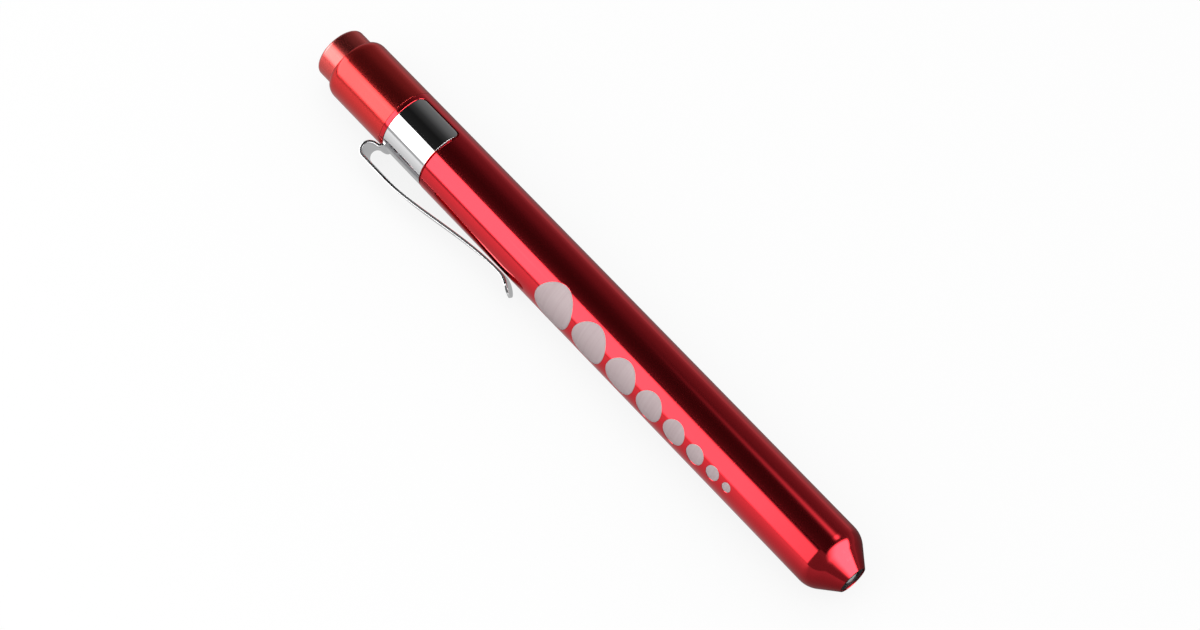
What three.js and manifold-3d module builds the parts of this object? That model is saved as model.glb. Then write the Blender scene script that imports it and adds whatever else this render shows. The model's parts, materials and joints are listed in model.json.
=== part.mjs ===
// Diagnostic penlight with a pupil gauge: tube barrel, click tail and sprung pocket clip.
// Millimetres, +Z up. The light lies on a table, on its barrel and its clip, with the nose along +X.
import * as THREE from 'three';
import { mergeVertices } from 'three/addons/utils/BufferGeometryUtils.js';
import Module from 'manifold-3d';

const wasm = await Module();
wasm.setup();

// Fits
const SLIP = 0.1; // radial gap of pieces that slide or screw together
const SEAT = 0.15; // gap at faces that rest on each other
const SNAP = 0.3; // gap round the clip band in its recess

// Cells, AAA
const CELL_RADIUS = 5.25;
const CELL_LENGTH = 44.5;
const CELL_CAP_RADIUS = 1.9;
const CELL_CAP_HEIGHT = 0.8;
const CELL_EDGE = 0.5;
const CELL_CREASE = 0.35; // depth of the rolled groove near the cap
const CELL_CREASE_SETBACK = 2.0; // groove behind the front end

// Barrel
const CELL_CLEARANCE = 0.2; // round the cells
const BARREL_WALL = 1.05;
const CONE_LENGTH = 4.7;
const CONE_WALL = 1.0;
const CONE_ROUND = 5.0; // radius of the bend from tube to cone
const NOSE_RIM = 0.3; // flat rim round the lamp holder
const EDGE_CHAMFER = 0.25;
const REAR_RIM = 0.7; // full wall left behind the clip band's recess

// Pupil gauge: discs etched square on to the barrel
const GAUGE_DIAMETERS = [9, 8, 7, 6, 5, 4, 3, 2];
const GAUGE_GAP = 1.0;
const GAUGE_START = 43.2; // rear edge of the largest disc, from the seam
const GAUGE_FROM_CLIP = 45.6; // degrees round the barrel
const GAUGE_DEPTH = 0.15;

// Pocket clip, bent from one strip
const CLIP_SHEET = 0.5;
const CLIP_BAND_LENGTH = 10.3;
const CLIP_BAND_HALF_ANGLE = 141; // degrees each way from the arm
const CLIP_BAND_CORNER = 1.1;
const CLIP_BAND_SUNK = 0.05; // below the barrel's surface
const CLIP_ARM_WIDTH = 5.0;
const CLIP_TIP_WIDTH = 4.2;
const CLIP_STANDOFF = 3.95; // outside of the arm above the barrel
const CLIP_OVERHANG = 2.1; // hairpin behind the seam
const CLIP_TOUCH_AT = 34.7; // where the arm comes down on the barrel
const CLIP_TOUCH_GAP = 0.15;
const CLIP_TIP_RUN = 4.4; // flared tip beyond that
const CLIP_TIP_RISE = 1.9;
const CLIP_FLAT = 6.0; // straight stretch at the start of the arm
const CLIP_ROOT_RUN = 2.6; // strip from the band up to the hairpin
const CLIP_EASE_OUT = 0.3; // share of the fall that leaves the flat stretch level
const CLIP_EASE_IN = 0.35; // share of the fall that is the last slope
const CLIP_LAST_SLOPE = 1.3; // height of that slope above the barrel

// Tail sleeve and button
const SEAM_GAP = 0.3;
const SLEEVE_LENGTH = 15.1;
const SLEEVE_WALL = 0.6;
const SLEEVE_LIP = 1.35; // thickness of the rear lip
const SHOULDER_RUN = 1.7; // rolled shoulder along the axis
const BUTTON_STEP = 0.6; // button's side inside the sleeve's bore
const BUTTON_PROUD = 4.3; // button behind the sleeve
const BUTTON_TRAVEL = 2.2;
const BUTTON_WALL = 1.0;
const BUTTON_EDGE = 0.6;
const BUTTON_FLANGE = 1.0; // thickness
const BUTTON_STOP_GAP = 0.3; // flange to lip when released
const PRESS_CLEARANCE = 1.0; // flange to switch when pressed

// Threaded neck
const NECK_REACH = 7.0; // into the barrel
const NECK_WALL = 0.85;

// Switch
const WASHER_THICK = 0.3;
const FLANGE_THICK = 1.6;
const CAP_THICK = 1.2;
const SWITCH_WALL = 1.0;
const SWITCH_REACH = 4.0; // front of the switch ahead of the seam
const SWITCH_FRONT_WALL = 1.2;
const GUIDE_RIBS = 4;
const GUIDE_RIB_WIDTH = 0.7;
const GUIDE_RIB_HEIGHT = 0.5;
const GUIDE_RIB_LENGTH = 3.2;
const STEM_RADIUS = 2.0;
const STEM_COLLAR = 1.7; // length of the toothed collar
const CROWN_TEETH = 8;
const CROWN_DEPTH = 0.6;
const CROWN_GAP_SHARE = 0.9; // of the pitch
const ROTOR_LENGTH = 1.9;
const ROTOR_HUB = 2.2;
const ROTOR_LUG_WIDTH = 0.9;
const PIN_RADIUS = 0.8;
const PIN_HEAD_RADIUS = 2.0;
const PIN_HEAD_THICK = 0.5;
const RIVET_RADIUS = 1.2;
const TERMINAL_INSET = 0.9; // terminal's edge inside the neck's bore
const TERMINAL_THICK = 0.6;

// Springs
const SPRING_TURN_STEPS = 8;
const SPRING_SIDES = 5;
const SWITCH_SPRING = { wire: 0.4, turns: 5, gapToPin: 0.7 };
const BATTERY_SPRING = { wire: 0.7, turns: 5, length: 10.45, inset: 0.4, taper: 0.8 };

// Lamp, 3 mm, and its holder
const LED_RADIUS = 1.5;
const LED_LENGTH = 5.4;
const LED_FLANGE_STEP = 0.4;
const LED_FLANGE = 1.0;
const LED_SUNK = 0.15; // lamp and holder behind the nose face
const LEAD_SIZE = 0.5;
const LEAD_PITCH = 2.54;
const HOLDER_LENGTH = 13.3;
const HOLDER_RING = 0.85; // black ring that shows round the lamp
const HOLDER_SLOT = 0.9;
const GROUND_RING_WIDTH = 1.5;
const GROUND_RING_THICK = 0.7;
const GROUND_RING_GAP = 30; // degrees
const GROUND_RING_FROM_REAR = 3.0;
const DISC_INSET = 1.25; // contact disc's edge inside the bore
const DISC_THICK = 0.5;
const DISC_BOSS = 0.8;

// Facets
const ROUND = 48;
const SMALL_ROUND = 24;
const ARC_STEPS = 5;
const WELD = 1e-4; // points closer than this are one

// Radii, from the cells outward
const rad = THREE.MathUtils.degToRad;
const barrelBore = CELL_RADIUS + CELL_CLEARANCE;
const barrelRadius = barrelBore + BARREL_WALL;
const bandOuter = barrelRadius - CLIP_BAND_SUNK;
const bandInner = bandOuter - CLIP_SHEET;
const recessFloor = bandInner - SLIP;
const armOuter = barrelRadius + CLIP_STANDOFF;
const sleeveBore = barrelRadius - SLEEVE_WALL;
const buttonRadius = sleeveBore - BUTTON_STEP;
const innerPieceRadius = sleeveBore - SLIP * 2;
const neckOuter = barrelBore - SLIP;
const neckBore = neckOuter - NECK_WALL;
const switchOuter = neckBore - SLIP;
const switchBore = switchOuter - SWITCH_WALL;
const terminalRadius = neckBore - TERMINAL_INSET;
const ledBore = LED_RADIUS + SLIP;
const ledFlangeRadius = LED_RADIUS + LED_FLANGE_STEP;
const holderCavity = ledFlangeRadius + SLIP;
const holderSpigot = ledBore + HOLDER_RING;
const holderOuter = barrelBore - SLIP;
const rimBore = holderSpigot + SLIP;
const noseFaceRadius = rimBore + NOSE_RIM;
const ringOuter = barrelBore - SLIP;
const ringInner = ringOuter - GROUND_RING_THICK;

// Tail places along the axis: the seam is 0, the nose is positive
const sleeveFront = -SEAM_GAP;
const sleeveRear = sleeveFront - SLEEVE_LENGTH;
const lipFront = sleeveRear + SLEEVE_LIP;
const buttonRear = sleeveRear - BUTTON_PROUD;
const buttonFloor = buttonRear + BUTTON_WALL;
const buttonFlangeRear = lipFront + BUTTON_STOP_GAP;
const buttonFlangeFront = buttonFlangeRear + BUTTON_FLANGE;
const capRear = buttonFlangeFront + BUTTON_TRAVEL + PRESS_CLEARANCE;
const capFront = capRear + CAP_THICK;
const flangeRear = capFront + SEAT;
const flangeFront = flangeRear + FLANGE_THICK;
const washerRear = flangeFront + SEAT;
const washerFront = washerRear + WASHER_THICK;
const neckRear = washerFront + SEAT;
const collarRear = capFront + SEAT;
const collarFront = collarRear + STEM_COLLAR;
const crownFloor = collarFront - CROWN_DEPTH;
const rotorRear = collarFront + SEAT;
const rotorFront = rotorRear + ROTOR_LENGTH;
const pinHeadRear = rotorFront + SEAT;
const pinHeadFront = pinHeadRear + PIN_HEAD_THICK;
const switchWallRear = SWITCH_REACH - SWITCH_FRONT_WALL;
const pinTip = switchWallRear - BUTTON_TRAVEL - SEAT;
const terminalRear = SWITCH_REACH + SEAT;
const terminalFront = terminalRear + TERMINAL_THICK;

// Barrel places: the spring, the cells and the lamp holder are stacked up to the nose
const springRear = terminalFront + SEAT;
const springFront = springRear + BATTERY_SPRING.length;
const rearCellEnd = springFront + SEAT;
const rearCellCap = rearCellEnd + CELL_LENGTH;
const frontCellCap = rearCellCap + SEAT + CELL_LENGTH;
const discRear = frontCellCap + SEAT;
const discFront = discRear + DISC_THICK;
const holderRear = discFront + SEAT;
const ringRear = holderRear + GROUND_RING_FROM_REAR;
const ringFront = ringRear + GROUND_RING_WIDTH;
const noseInside = holderRear + HOLDER_LENGTH;
const ledRear = noseInside - LED_LENGTH;
const barrelLength = noseInside + LED_SUNK;
const coneStart = barrelLength - CONE_LENGTH;
const coneAngle = Math.atan2(barrelRadius - noseFaceRadius, CONE_LENGTH);
const innerConeAt = (radius, wall) =>
  coneStart + (barrelRadius - radius) / Math.tan(coneAngle) - wall / Math.sin(coneAngle);
const bandRear = REAR_RIM + SNAP;
const bandFront = bandRear + CLIP_BAND_LENGTH;

// Welded, closed geometry with only positions
function weld(geometry) {
  geometry.deleteAttribute('normal');
  geometry.deleteAttribute('uv');
  const merged = mergeVertices(geometry, WELD);
  const index = merged.getIndex().array;
  const kept = [];
  for (let i = 0; i < index.length; i += 3) {
    const [a, b, c] = [index[i], index[i + 1], index[i + 2]];
    if (a !== b && b !== c && c !== a) kept.push(a, b, c);
  }
  merged.setIndex(kept);
  return merged;
}

function toSolid(geometry) {
  const welded = weld(geometry);
  return new wasm.Manifold(new wasm.Mesh({
    numProp: 3,
    vertProperties: new Float32Array(welded.getAttribute('position').array),
    triVerts: new Uint32Array(welded.getIndex().array),
  }));
}

function toGeometry(solid) {
  const mesh = solid.getMesh();
  const geometry = new THREE.BufferGeometry();
  geometry.setAttribute('position', new THREE.BufferAttribute(mesh.vertProperties, 3));
  geometry.setIndex(new THREE.BufferAttribute(mesh.triVerts, 1));
  return geometry;
}

function subtract(geometry, ...cutters) {
  return toGeometry(cutters.reduce((solid, cutter) => solid.subtract(toSolid(cutter)), toSolid(geometry)));
}

function unite(geometry, ...others) {
  return toGeometry(others.reduce((solid, other) => solid.add(toSolid(other)), toSolid(geometry)));
}

function intersect(geometry, other) {
  return toGeometry(toSolid(geometry).intersect(toSolid(other)));
}

// Turned piece: points are [along the axis, radius]; a profile that leaves the axis closes on itself
function turned(points, steps = ROUND) {
  const area = points.reduce((sum, [x, r], i) => {
    const [nextX, nextR] = points[(i + 1) % points.length];
    return sum + x * nextR - nextX * r;
  }, 0);
  const ordered = area > 0 ? [...points].reverse() : [...points];
  if (points.every(([, r]) => r > 0)) ordered.push(ordered[0]);
  const profile = ordered.map(([x, r]) => new THREE.Vector2(r, x));
  const geometry = new THREE.LatheGeometry(profile, steps);
  return geometry.rotateZ(-Math.PI / 2);
}

const ring = (x0, x1, inner, outer, steps = ROUND) =>
  turned([[x0, inner], [x1, inner], [x1, outer], [x0, outer]], steps);

// Points of an arc in a turned profile, from one angle to another about a centre
function arc([cx, cr], radius, from, to, steps = ARC_STEPS) {
  return Array.from({ length: steps + 1 }, (_, i) => {
    const angle = from + ((to - from) * i) / steps;
    return [cx + radius * Math.cos(angle), cr + radius * Math.sin(angle)];
  });
}

// Box by its limits; across runs along Y and up along Z
function block([x0, x1], [y0, y1], [z0, z1]) {
  const box = new THREE.BoxGeometry(x1 - x0, y1 - y0, z1 - z0);
  return box.translate((x0 + x1) / 2, (y0 + y1) / 2, (z0 + z1) / 2);
}

// Flat outline in X and Z, as deep as the given width along Y and centred there
function plate(outline, width) {
  const geometry = new THREE.ExtrudeGeometry(new THREE.Shape(outline), {
    depth: width, bevelEnabled: false, curveSegments: ARC_STEPS * 2,
  });
  return geometry.rotateX(Math.PI / 2).translate(0, width / 2, 0);
}

// Wall bent round the axis, from the arm's direction (-Y) each way, with rounded corners
function bentWall(rear, front, inner, outer, halfAngle, corner) {
  const end = rad(halfAngle);
  const middle = (inner + outer) / 2;
  const cornerAngle = corner / middle;
  const angles = [];
  for (let i = 0; i <= ARC_STEPS; i += 1) angles.push(-end + (cornerAngle * i) / ARC_STEPS);
  const span = 2 * (end - cornerAngle);
  const steps = Math.round((span / (2 * Math.PI)) * ROUND);
  for (let i = 1; i < steps; i += 1) angles.push(-end + cornerAngle + (span * i) / steps);
  for (let i = 0; i <= ARC_STEPS; i += 1) angles.push(end - cornerAngle + (cornerAngle * i) / ARC_STEPS);
  const positions = [];
  for (const angle of angles) {
    const inset = Math.min((end - Math.abs(angle)) * middle, corner);
    const drop = corner - Math.sqrt(Math.max(corner ** 2 - (corner - inset) ** 2, 0));
    const [x0, x1] = [rear + drop, front - drop];
    for (const [x, r] of [[x0, inner], [x1, inner], [x1, outer], [x0, outer]]) {
      positions.push(x, -r * Math.cos(angle), -r * Math.sin(angle));
    }
  }
  const index = [0, 2, 1, 0, 3, 2];
  for (let i = 0; i + 1 < angles.length; i += 1) {
    for (let k = 0; k < 4; k += 1) {
      const a = i * 4 + k;
      const b = i * 4 + ((k + 1) % 4);
      index.push(a, b, a + 4, b, b + 4, a + 4);
    }
  }
  const last = (angles.length - 1) * 4;
  index.push(last, last + 1, last + 2, last, last + 2, last + 3);
  const geometry = new THREE.BufferGeometry();
  geometry.setAttribute('position', new THREE.Float32BufferAttribute(positions, 3));
  geometry.setIndex(index);
  return geometry;
}

// Coil spring along the axis as one unbroken tube; prints its least gap to itself
function coil(name, wire, turns, [base, tip], [x0, x1]) {
  const count = turns * SPRING_TURN_STEPS;
  const from = x0 + wire / 2;
  const run = x1 - x0 - wire;
  const centre = (i) => {
    const share = i / count;
    const radius = base + (tip - base) * share;
    const angle = 2 * Math.PI * turns * share;
    return new THREE.Vector3(from + run * share, radius * Math.cos(angle), radius * Math.sin(angle));
  };
  const centres = Array.from({ length: count + 1 }, (_, i) => centre(i));
  let least = Infinity;
  for (let i = 0; i <= count; i += 1) {
    for (let j = i + SPRING_TURN_STEPS / 2; j <= count; j += 1) {
      least = Math.min(least, centres[i].distanceTo(centres[j]) - wire);
    }
  }
  console.log(`${name}: least gap between turns ${least.toFixed(2)} mm`);
  const positions = [];
  centres.forEach((point, i) => {
    const along = centre(i + 0.5).sub(centre(i - 0.5)).normalize();
    const outward = new THREE.Vector3(0, point.y, point.z).normalize();
    const side = new THREE.Vector3().crossVectors(along, outward).normalize();
    outward.crossVectors(side, along);
    for (let k = 0; k < SPRING_SIDES; k += 1) {
      const turn = (2 * Math.PI * k) / SPRING_SIDES;
      const corner = point.clone();
      corner.addScaledVector(outward, (wire / 2) * Math.cos(turn));
      corner.addScaledVector(side, (wire / 2) * Math.sin(turn));
      positions.push(corner.x, corner.y, corner.z);
    }
  });
  const index = [];
  for (let i = 0; i < count; i += 1) {
    for (let k = 0; k < SPRING_SIDES; k += 1) {
      const a = i * SPRING_SIDES + k;
      const b = i * SPRING_SIDES + ((k + 1) % SPRING_SIDES);
      index.push(a, b, a + SPRING_SIDES, b, b + SPRING_SIDES, a + SPRING_SIDES);
    }
  }
  const last = count * SPRING_SIDES;
  for (let k = 1; k + 1 < SPRING_SIDES; k += 1) {
    index.push(0, k + 1, k, last, last + k, last + k + 1);
  }
  const geometry = new THREE.BufferGeometry();
  geometry.setAttribute('position', new THREE.Float32BufferAttribute(positions, 3));
  geometry.setIndex(index);
  return geometry;
}

// Barrel: tube and cone in one wall, recess for the band, etched gauge
function gaugeDiscs() {
  const discs = [];
  let edge = GAUGE_START;
  for (const diameter of GAUGE_DIAMETERS) {
    const disc = new THREE.CylinderGeometry(diameter / 2, diameter / 2, barrelRadius, SMALL_ROUND);
    disc.rotateX(Math.PI / 2).translate(edge + diameter / 2, 0, barrelRadius);
    discs.push(disc.rotateX(rad(90 - GAUGE_FROM_CLIP)));
    edge += diameter + GAUGE_GAP;
  }
  return discs;
}

function barrel() {
  const bendRun = CONE_ROUND * Math.tan(coneAngle / 2);
  const bendCentre = [coneStart - bendRun, barrelRadius - CONE_ROUND];
  const bend = arc(bendCentre, CONE_ROUND, Math.PI / 2, Math.PI / 2 - coneAngle);
  const tube = turned([
    [0, barrelBore],
    [0, barrelRadius - EDGE_CHAMFER],
    [EDGE_CHAMFER, barrelRadius],
    ...bend,
    [barrelLength, noseFaceRadius],
    [barrelLength, rimBore],
    [innerConeAt(rimBore, CONE_WALL), rimBore],
    [innerConeAt(barrelBore, CONE_WALL), barrelBore],
  ]);
  const recess = bentWall(
    REAR_RIM, bandFront + SNAP, recessFloor, barrelRadius + SNAP,
    CLIP_BAND_HALF_ANGLE + THREE.MathUtils.radToDeg(SNAP / barrelRadius), CLIP_BAND_CORNER + SNAP,
  );
  const etched = ring(0, coneStart, barrelRadius - GAUGE_DEPTH, barrelRadius * 2);
  const marks = gaugeDiscs().map((disc) => intersect(etched, disc));
  return subtract(tube, recess, ...marks);
}

// Pocket clip: band, hairpin and arm of one sheet thickness
function clipStrip() {
  const half = CLIP_SHEET / 2;
  const bandLine = bandInner + half;
  const legLine = barrelRadius + SNAP + half;
  const armLine = armOuter - half;
  const hairpin = (armLine - legLine) / 2;
  const hairpinAt = -CLIP_OVERHANG + hairpin + half;
  const touchLine = barrelRadius + CLIP_TOUCH_GAP + half;
  const line = new THREE.Path();
  const rootAt = bandRear + CLIP_ROOT_RUN;
  line.moveTo(rootAt, bandLine);
  line.bezierCurveTo(rootAt - CLIP_ROOT_RUN / 2, bandLine, REAR_RIM + SNAP * 2, legLine, REAR_RIM, legLine);
  line.lineTo(hairpinAt, legLine);
  line.absarc(hairpinAt, legLine + hairpin, hairpin, -Math.PI / 2, -Math.PI * 1.5, true);
  line.lineTo(hairpinAt + CLIP_FLAT, armLine);
  const fall = CLIP_TOUCH_AT - hairpinAt - CLIP_FLAT;
  line.bezierCurveTo(
    hairpinAt + CLIP_FLAT + fall * CLIP_EASE_OUT, armLine,
    CLIP_TOUCH_AT - fall * CLIP_EASE_IN, touchLine + CLIP_LAST_SLOPE,
    CLIP_TOUCH_AT, touchLine,
  );
  line.quadraticCurveTo(
    CLIP_TOUCH_AT + CLIP_TIP_RUN / 3, touchLine,
    CLIP_TOUCH_AT + CLIP_TIP_RUN, touchLine + CLIP_TIP_RISE,
  );
  const isNew = (point, i, all) => i === 0 || point.distanceTo(all[i - 1]) > WELD;
  const points = line.getPoints(ARC_STEPS * 2).filter(isNew);
  const normals = points.map((_, i) => {
    const before = points[Math.max(i - 1, 0)];
    const after = points[Math.min(i + 1, points.length - 1)];
    const along = after.clone().sub(before).normalize();
    return new THREE.Vector2(-along.y, along.x);
  });
  const outer = points.map((p, i) => p.clone().addScaledVector(normals[i], half));
  const inner = points.map((p, i) => p.clone().addScaledVector(normals[i], -half));
  return plate([...outer, ...inner.reverse()], CLIP_ARM_WIDTH);
}

function pocketClip() {
  const tipEnd = CLIP_TOUCH_AT + CLIP_TIP_RUN;
  const tipHalf = CLIP_TIP_WIDTH / 2;
  const rootHalf = CLIP_ARM_WIDTH / 2;
  const plan = new THREE.Path();
  plan.moveTo(-CLIP_OVERHANG * 2, -rootHalf);
  plan.lineTo(CLIP_FLAT, -rootHalf);
  plan.lineTo(tipEnd - tipHalf, -tipHalf);
  plan.absarc(tipEnd - tipHalf, 0, tipHalf, -Math.PI / 2, Math.PI / 2, false);
  plan.lineTo(CLIP_FLAT, rootHalf);
  plan.lineTo(-CLIP_OVERHANG * 2, rootHalf);
  const column = new THREE.ExtrudeGeometry(new THREE.Shape(plan.getPoints(ARC_STEPS * 2)), {
    depth: armOuter * 2, bevelEnabled: false,
  });
  const strip = intersect(clipStrip(), column).rotateX(Math.PI / 2);
  const band = bentWall(bandRear, bandFront, bandInner, bandOuter, CLIP_BAND_HALF_ANGLE, CLIP_BAND_CORNER);
  return unite(band, strip);
}

// Tail sleeve, with its rear end rolled in over the button's flange
function tailSleeve() {
  const lipBore = buttonRadius + SLIP;
  const shoulderRise = barrelRadius - lipBore - EDGE_CHAMFER;
  const shoulder = arc([0, 0], 1, Math.PI / 2, Math.PI).map(([x, r]) => [
    sleeveRear + SHOULDER_RUN + x * SHOULDER_RUN,
    barrelRadius - shoulderRise + r * shoulderRise,
  ]);
  return turned([
    [sleeveFront, sleeveBore],
    [sleeveFront, barrelRadius - EDGE_CHAMFER],
    [sleeveFront - EDGE_CHAMFER, barrelRadius],
    ...shoulder,
    [sleeveRear, lipBore],
    [lipFront, lipBore],
    [lipFront, sleeveBore],
  ]);
}

function pushButton() {
  const inside = buttonRadius - BUTTON_WALL;
  const edge = arc([buttonRear + BUTTON_EDGE, buttonRadius - BUTTON_EDGE], BUTTON_EDGE, Math.PI, Math.PI / 2);
  return turned([
    [buttonRear, 0],
    ...edge,
    [buttonFlangeRear, buttonRadius],
    [buttonFlangeRear, innerPieceRadius],
    [buttonFlangeFront, innerPieceRadius],
    [buttonFlangeFront, inside],
    [buttonFloor, inside],
    [buttonFloor, 0],
  ]);
}

// Neck: wide where it is pressed into the sleeve, narrow where its thread enters the barrel
function threadedNeck() {
  const seated = sleeveBore - SLIP;
  return turned([
    [neckRear, neckBore],
    [NECK_REACH, neckBore],
    [NECK_REACH, neckOuter - EDGE_CHAMFER],
    [NECK_REACH - EDGE_CHAMFER, neckOuter],
    [sleeveFront, neckOuter],
    [sleeveFront, seated],
    [neckRear, seated],
  ]);
}

// Switch: ribbed body, toothed stem, lugged rotor
function switchBody() {
  const tube = turned([
    [flangeRear, switchBore],
    [switchWallRear, switchBore],
    [switchWallRear, RIVET_RADIUS + SLIP],
    [SWITCH_REACH, RIVET_RADIUS + SLIP],
    [SWITCH_REACH, switchOuter],
    [flangeFront, switchOuter],
    [flangeFront, innerPieceRadius],
    [flangeRear, innerPieceRadius],
  ]);
  const ribs = Array.from({ length: GUIDE_RIBS }, (_, i) => block(
    [rotorRear, rotorRear + GUIDE_RIB_LENGTH],
    [-GUIDE_RIB_WIDTH / 2, GUIDE_RIB_WIDTH / 2],
    [switchBore - GUIDE_RIB_HEIGHT, switchBore + SWITCH_WALL / 2],
  ).rotateX((2 * Math.PI * (i + 0.5)) / GUIDE_RIBS));
  return unite(tube, ...ribs);
}

function toothGap(turn, radius) {
  const halfGap = (Math.PI * radius * CROWN_GAP_SHARE) / CROWN_TEETH;
  const gap = new THREE.Shape([
    new THREE.Vector2(0, -halfGap),
    new THREE.Vector2(CROWN_DEPTH, 0),
    new THREE.Vector2(0, halfGap),
  ]);
  const cutter = new THREE.ExtrudeGeometry(gap, { depth: radius * 2, bevelEnabled: false });
  return cutter.rotateX(turn);
}

function switchStem() {
  const collar = switchBore - GUIDE_RIB_HEIGHT - SLIP * 2;
  const pinSocket = PIN_RADIUS + SLIP * 2;
  const stem = turned([
    [buttonFloor + SEAT, 0],
    [buttonFloor + SEAT, STEM_RADIUS],
    [collarRear, STEM_RADIUS],
    [collarRear, collar],
    [collarFront, collar],
    [collarFront, pinSocket],
    [crownFloor, pinSocket],
    [crownFloor, 0],
  ], SMALL_ROUND);
  const gaps = Array.from({ length: CROWN_TEETH }, (_, i) =>
    toothGap((2 * Math.PI * i) / CROWN_TEETH, collar).rotateY(Math.PI).translate(collarFront, 0, 0));
  return subtract(stem, ...gaps);
}

function ratchetRotor() {
  const bore = PIN_RADIUS + SLIP;
  const lugRoot = (bore + ROTOR_HUB) / 2;
  const hub = ring(rotorRear, rotorFront, bore, ROTOR_HUB, SMALL_ROUND);
  const reach = switchBore - SLIP * 2;
  const lugs = Array.from({ length: GUIDE_RIBS }, (_, i) => {
    const outline = new THREE.Shape([
      new THREE.Vector2(rotorRear, -ROTOR_LUG_WIDTH / 2),
      new THREE.Vector2(rotorFront, -ROTOR_LUG_WIDTH / 2),
      new THREE.Vector2(rotorFront, ROTOR_LUG_WIDTH / 2),
      new THREE.Vector2(rotorRear + CROWN_DEPTH, ROTOR_LUG_WIDTH / 2),
    ]);
    const lug = new THREE.ExtrudeGeometry(outline, { depth: reach - lugRoot, bevelEnabled: false });
    return lug.translate(0, 0, lugRoot).rotateX((2 * Math.PI * i) / GUIDE_RIBS);
  });
  return unite(hub, ...lugs);
}

function contactPin() {
  return turned([
    [crownFloor + SEAT, 0],
    [crownFloor + SEAT, PIN_RADIUS],
    [pinHeadRear, PIN_RADIUS],
    [pinHeadRear, PIN_HEAD_RADIUS],
    [pinHeadFront, PIN_HEAD_RADIUS],
    [pinHeadFront, PIN_RADIUS],
    [pinTip, PIN_RADIUS],
    [pinTip, 0],
  ], SMALL_ROUND);
}

function switchTerminal() {
  return turned([
    [switchWallRear, 0],
    [switchWallRear, RIVET_RADIUS],
    [terminalRear, RIVET_RADIUS],
    [terminalRear, terminalRadius],
    [terminalFront, terminalRadius],
    [terminalFront, 0],
  ], SMALL_ROUND);
}

// Dry cell: crimped can with a cap at its front
function cell(capAt) {
  const front = capAt - CELL_CAP_HEIGHT;
  const rear = capAt - CELL_LENGTH;
  const creaseAt = front - CELL_CREASE_SETBACK;
  return turned([
    [rear, 0],
    [rear, CELL_RADIUS - CELL_EDGE],
    [rear + CELL_EDGE, CELL_RADIUS],
    [creaseAt - CELL_EDGE, CELL_RADIUS],
    [creaseAt, CELL_RADIUS - CELL_CREASE],
    [creaseAt + CELL_EDGE, CELL_RADIUS],
    [front - CELL_EDGE, CELL_RADIUS],
    [front, CELL_RADIUS - CELL_EDGE],
    [front, CELL_CAP_RADIUS],
    [capAt - CELL_EDGE / 2, CELL_CAP_RADIUS],
    [capAt, CELL_CAP_RADIUS - CELL_EDGE / 2],
    [capAt, 0],
  ], SMALL_ROUND);
}

// Lamp holder: cone plug with the lamp's seat, the ring's groove and a slot for the cathode leg
function lampHolder() {
  const seatAt = ledRear + LED_FLANGE + SLIP;
  const ringFloor = ringInner - SLIP;
  const plug = turned([
    [holderRear, holderCavity],
    [seatAt, holderCavity],
    [seatAt, ledBore],
    [noseInside, ledBore],
    [noseInside, holderSpigot],
    [innerConeAt(holderSpigot, CONE_WALL + SLIP), holderSpigot],
    [innerConeAt(holderOuter, CONE_WALL + SLIP), holderOuter],
    [ringFront + SEAT, holderOuter],
    [ringFront + SEAT, ringFloor],
    [ringRear - SEAT, ringFloor],
    [ringRear - SEAT, holderOuter],
    [holderRear, holderOuter],
  ]);
  const slot = block(
    [ringRear - SEAT, ringFront + SEAT],
    [-holderOuter, 0],
    [-HOLDER_SLOT / 2, HOLDER_SLOT / 2],
  );
  return subtract(plug, slot);
}

function ledLamp() {
  const dome = arc([noseInside - LED_RADIUS, 0], LED_RADIUS, Math.PI / 2, 0, ARC_STEPS + 1);
  return turned([
    [ledRear, 0],
    [ledRear, ledFlangeRadius],
    [ledRear + LED_FLANGE, ledFlangeRadius],
    [ledRear + LED_FLANGE, LED_RADIUS],
    ...dome.slice(0, -1),
    [noseInside, 0],
  ], SMALL_ROUND);
}

function anodeLead() {
  const half = LEAD_SIZE / 2;
  const across = LEAD_PITCH / 2;
  const rear = holderRear + DISC_BOSS + SEAT;
  return block([rear, ledRear - SEAT], [across - half, across + half], [-half, half]);
}

function cathodeLead() {
  const half = LEAD_SIZE / 2;
  const across = -LEAD_PITCH / 2;
  const foot = (ringRear + ringFront) / 2;
  const outline = [
    [ledRear - SEAT, across + half],
    [foot - half, across + half],
    [foot - half, -ringInner + SEAT],
    [foot + half, -ringInner + SEAT],
    [foot + half, across - half],
    [ledRear - SEAT, across - half],
  ].map(([x, y]) => new THREE.Vector2(x, y));
  const leg = new THREE.ExtrudeGeometry(new THREE.Shape(outline), { depth: LEAD_SIZE, bevelEnabled: false });
  return leg.translate(0, 0, -half);
}

function contactDisc() {
  const boss = holderCavity - SLIP;
  return turned([
    [discRear, 0],
    [discRear, barrelBore - DISC_INSET],
    [discFront, barrelBore - DISC_INSET],
    [discFront, boss],
    [holderRear + DISC_BOSS, boss],
    [holderRear + DISC_BOSS, 0],
  ], SMALL_ROUND);
}

function groundRing() {
  const whole = ring(ringRear, ringFront, ringInner, ringOuter);
  const half = ringOuter * Math.tan(rad(GROUND_RING_GAP / 2));
  const gap = new THREE.Shape([
    new THREE.Vector2(0, 0),
    new THREE.Vector2(ringOuter * 2, -half * 2),
    new THREE.Vector2(ringOuter * 2, half * 2),
  ]);
  const cutter = new THREE.ExtrudeGeometry(gap, { depth: GROUND_RING_WIDTH * 2, bevelEnabled: false });
  cutter.rotateZ(Math.PI / 2).rotateY(Math.PI / 2).translate(ringRear - GROUND_RING_WIDTH / 2, 0, 0);
  return subtract(whole, cutter);
}

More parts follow.
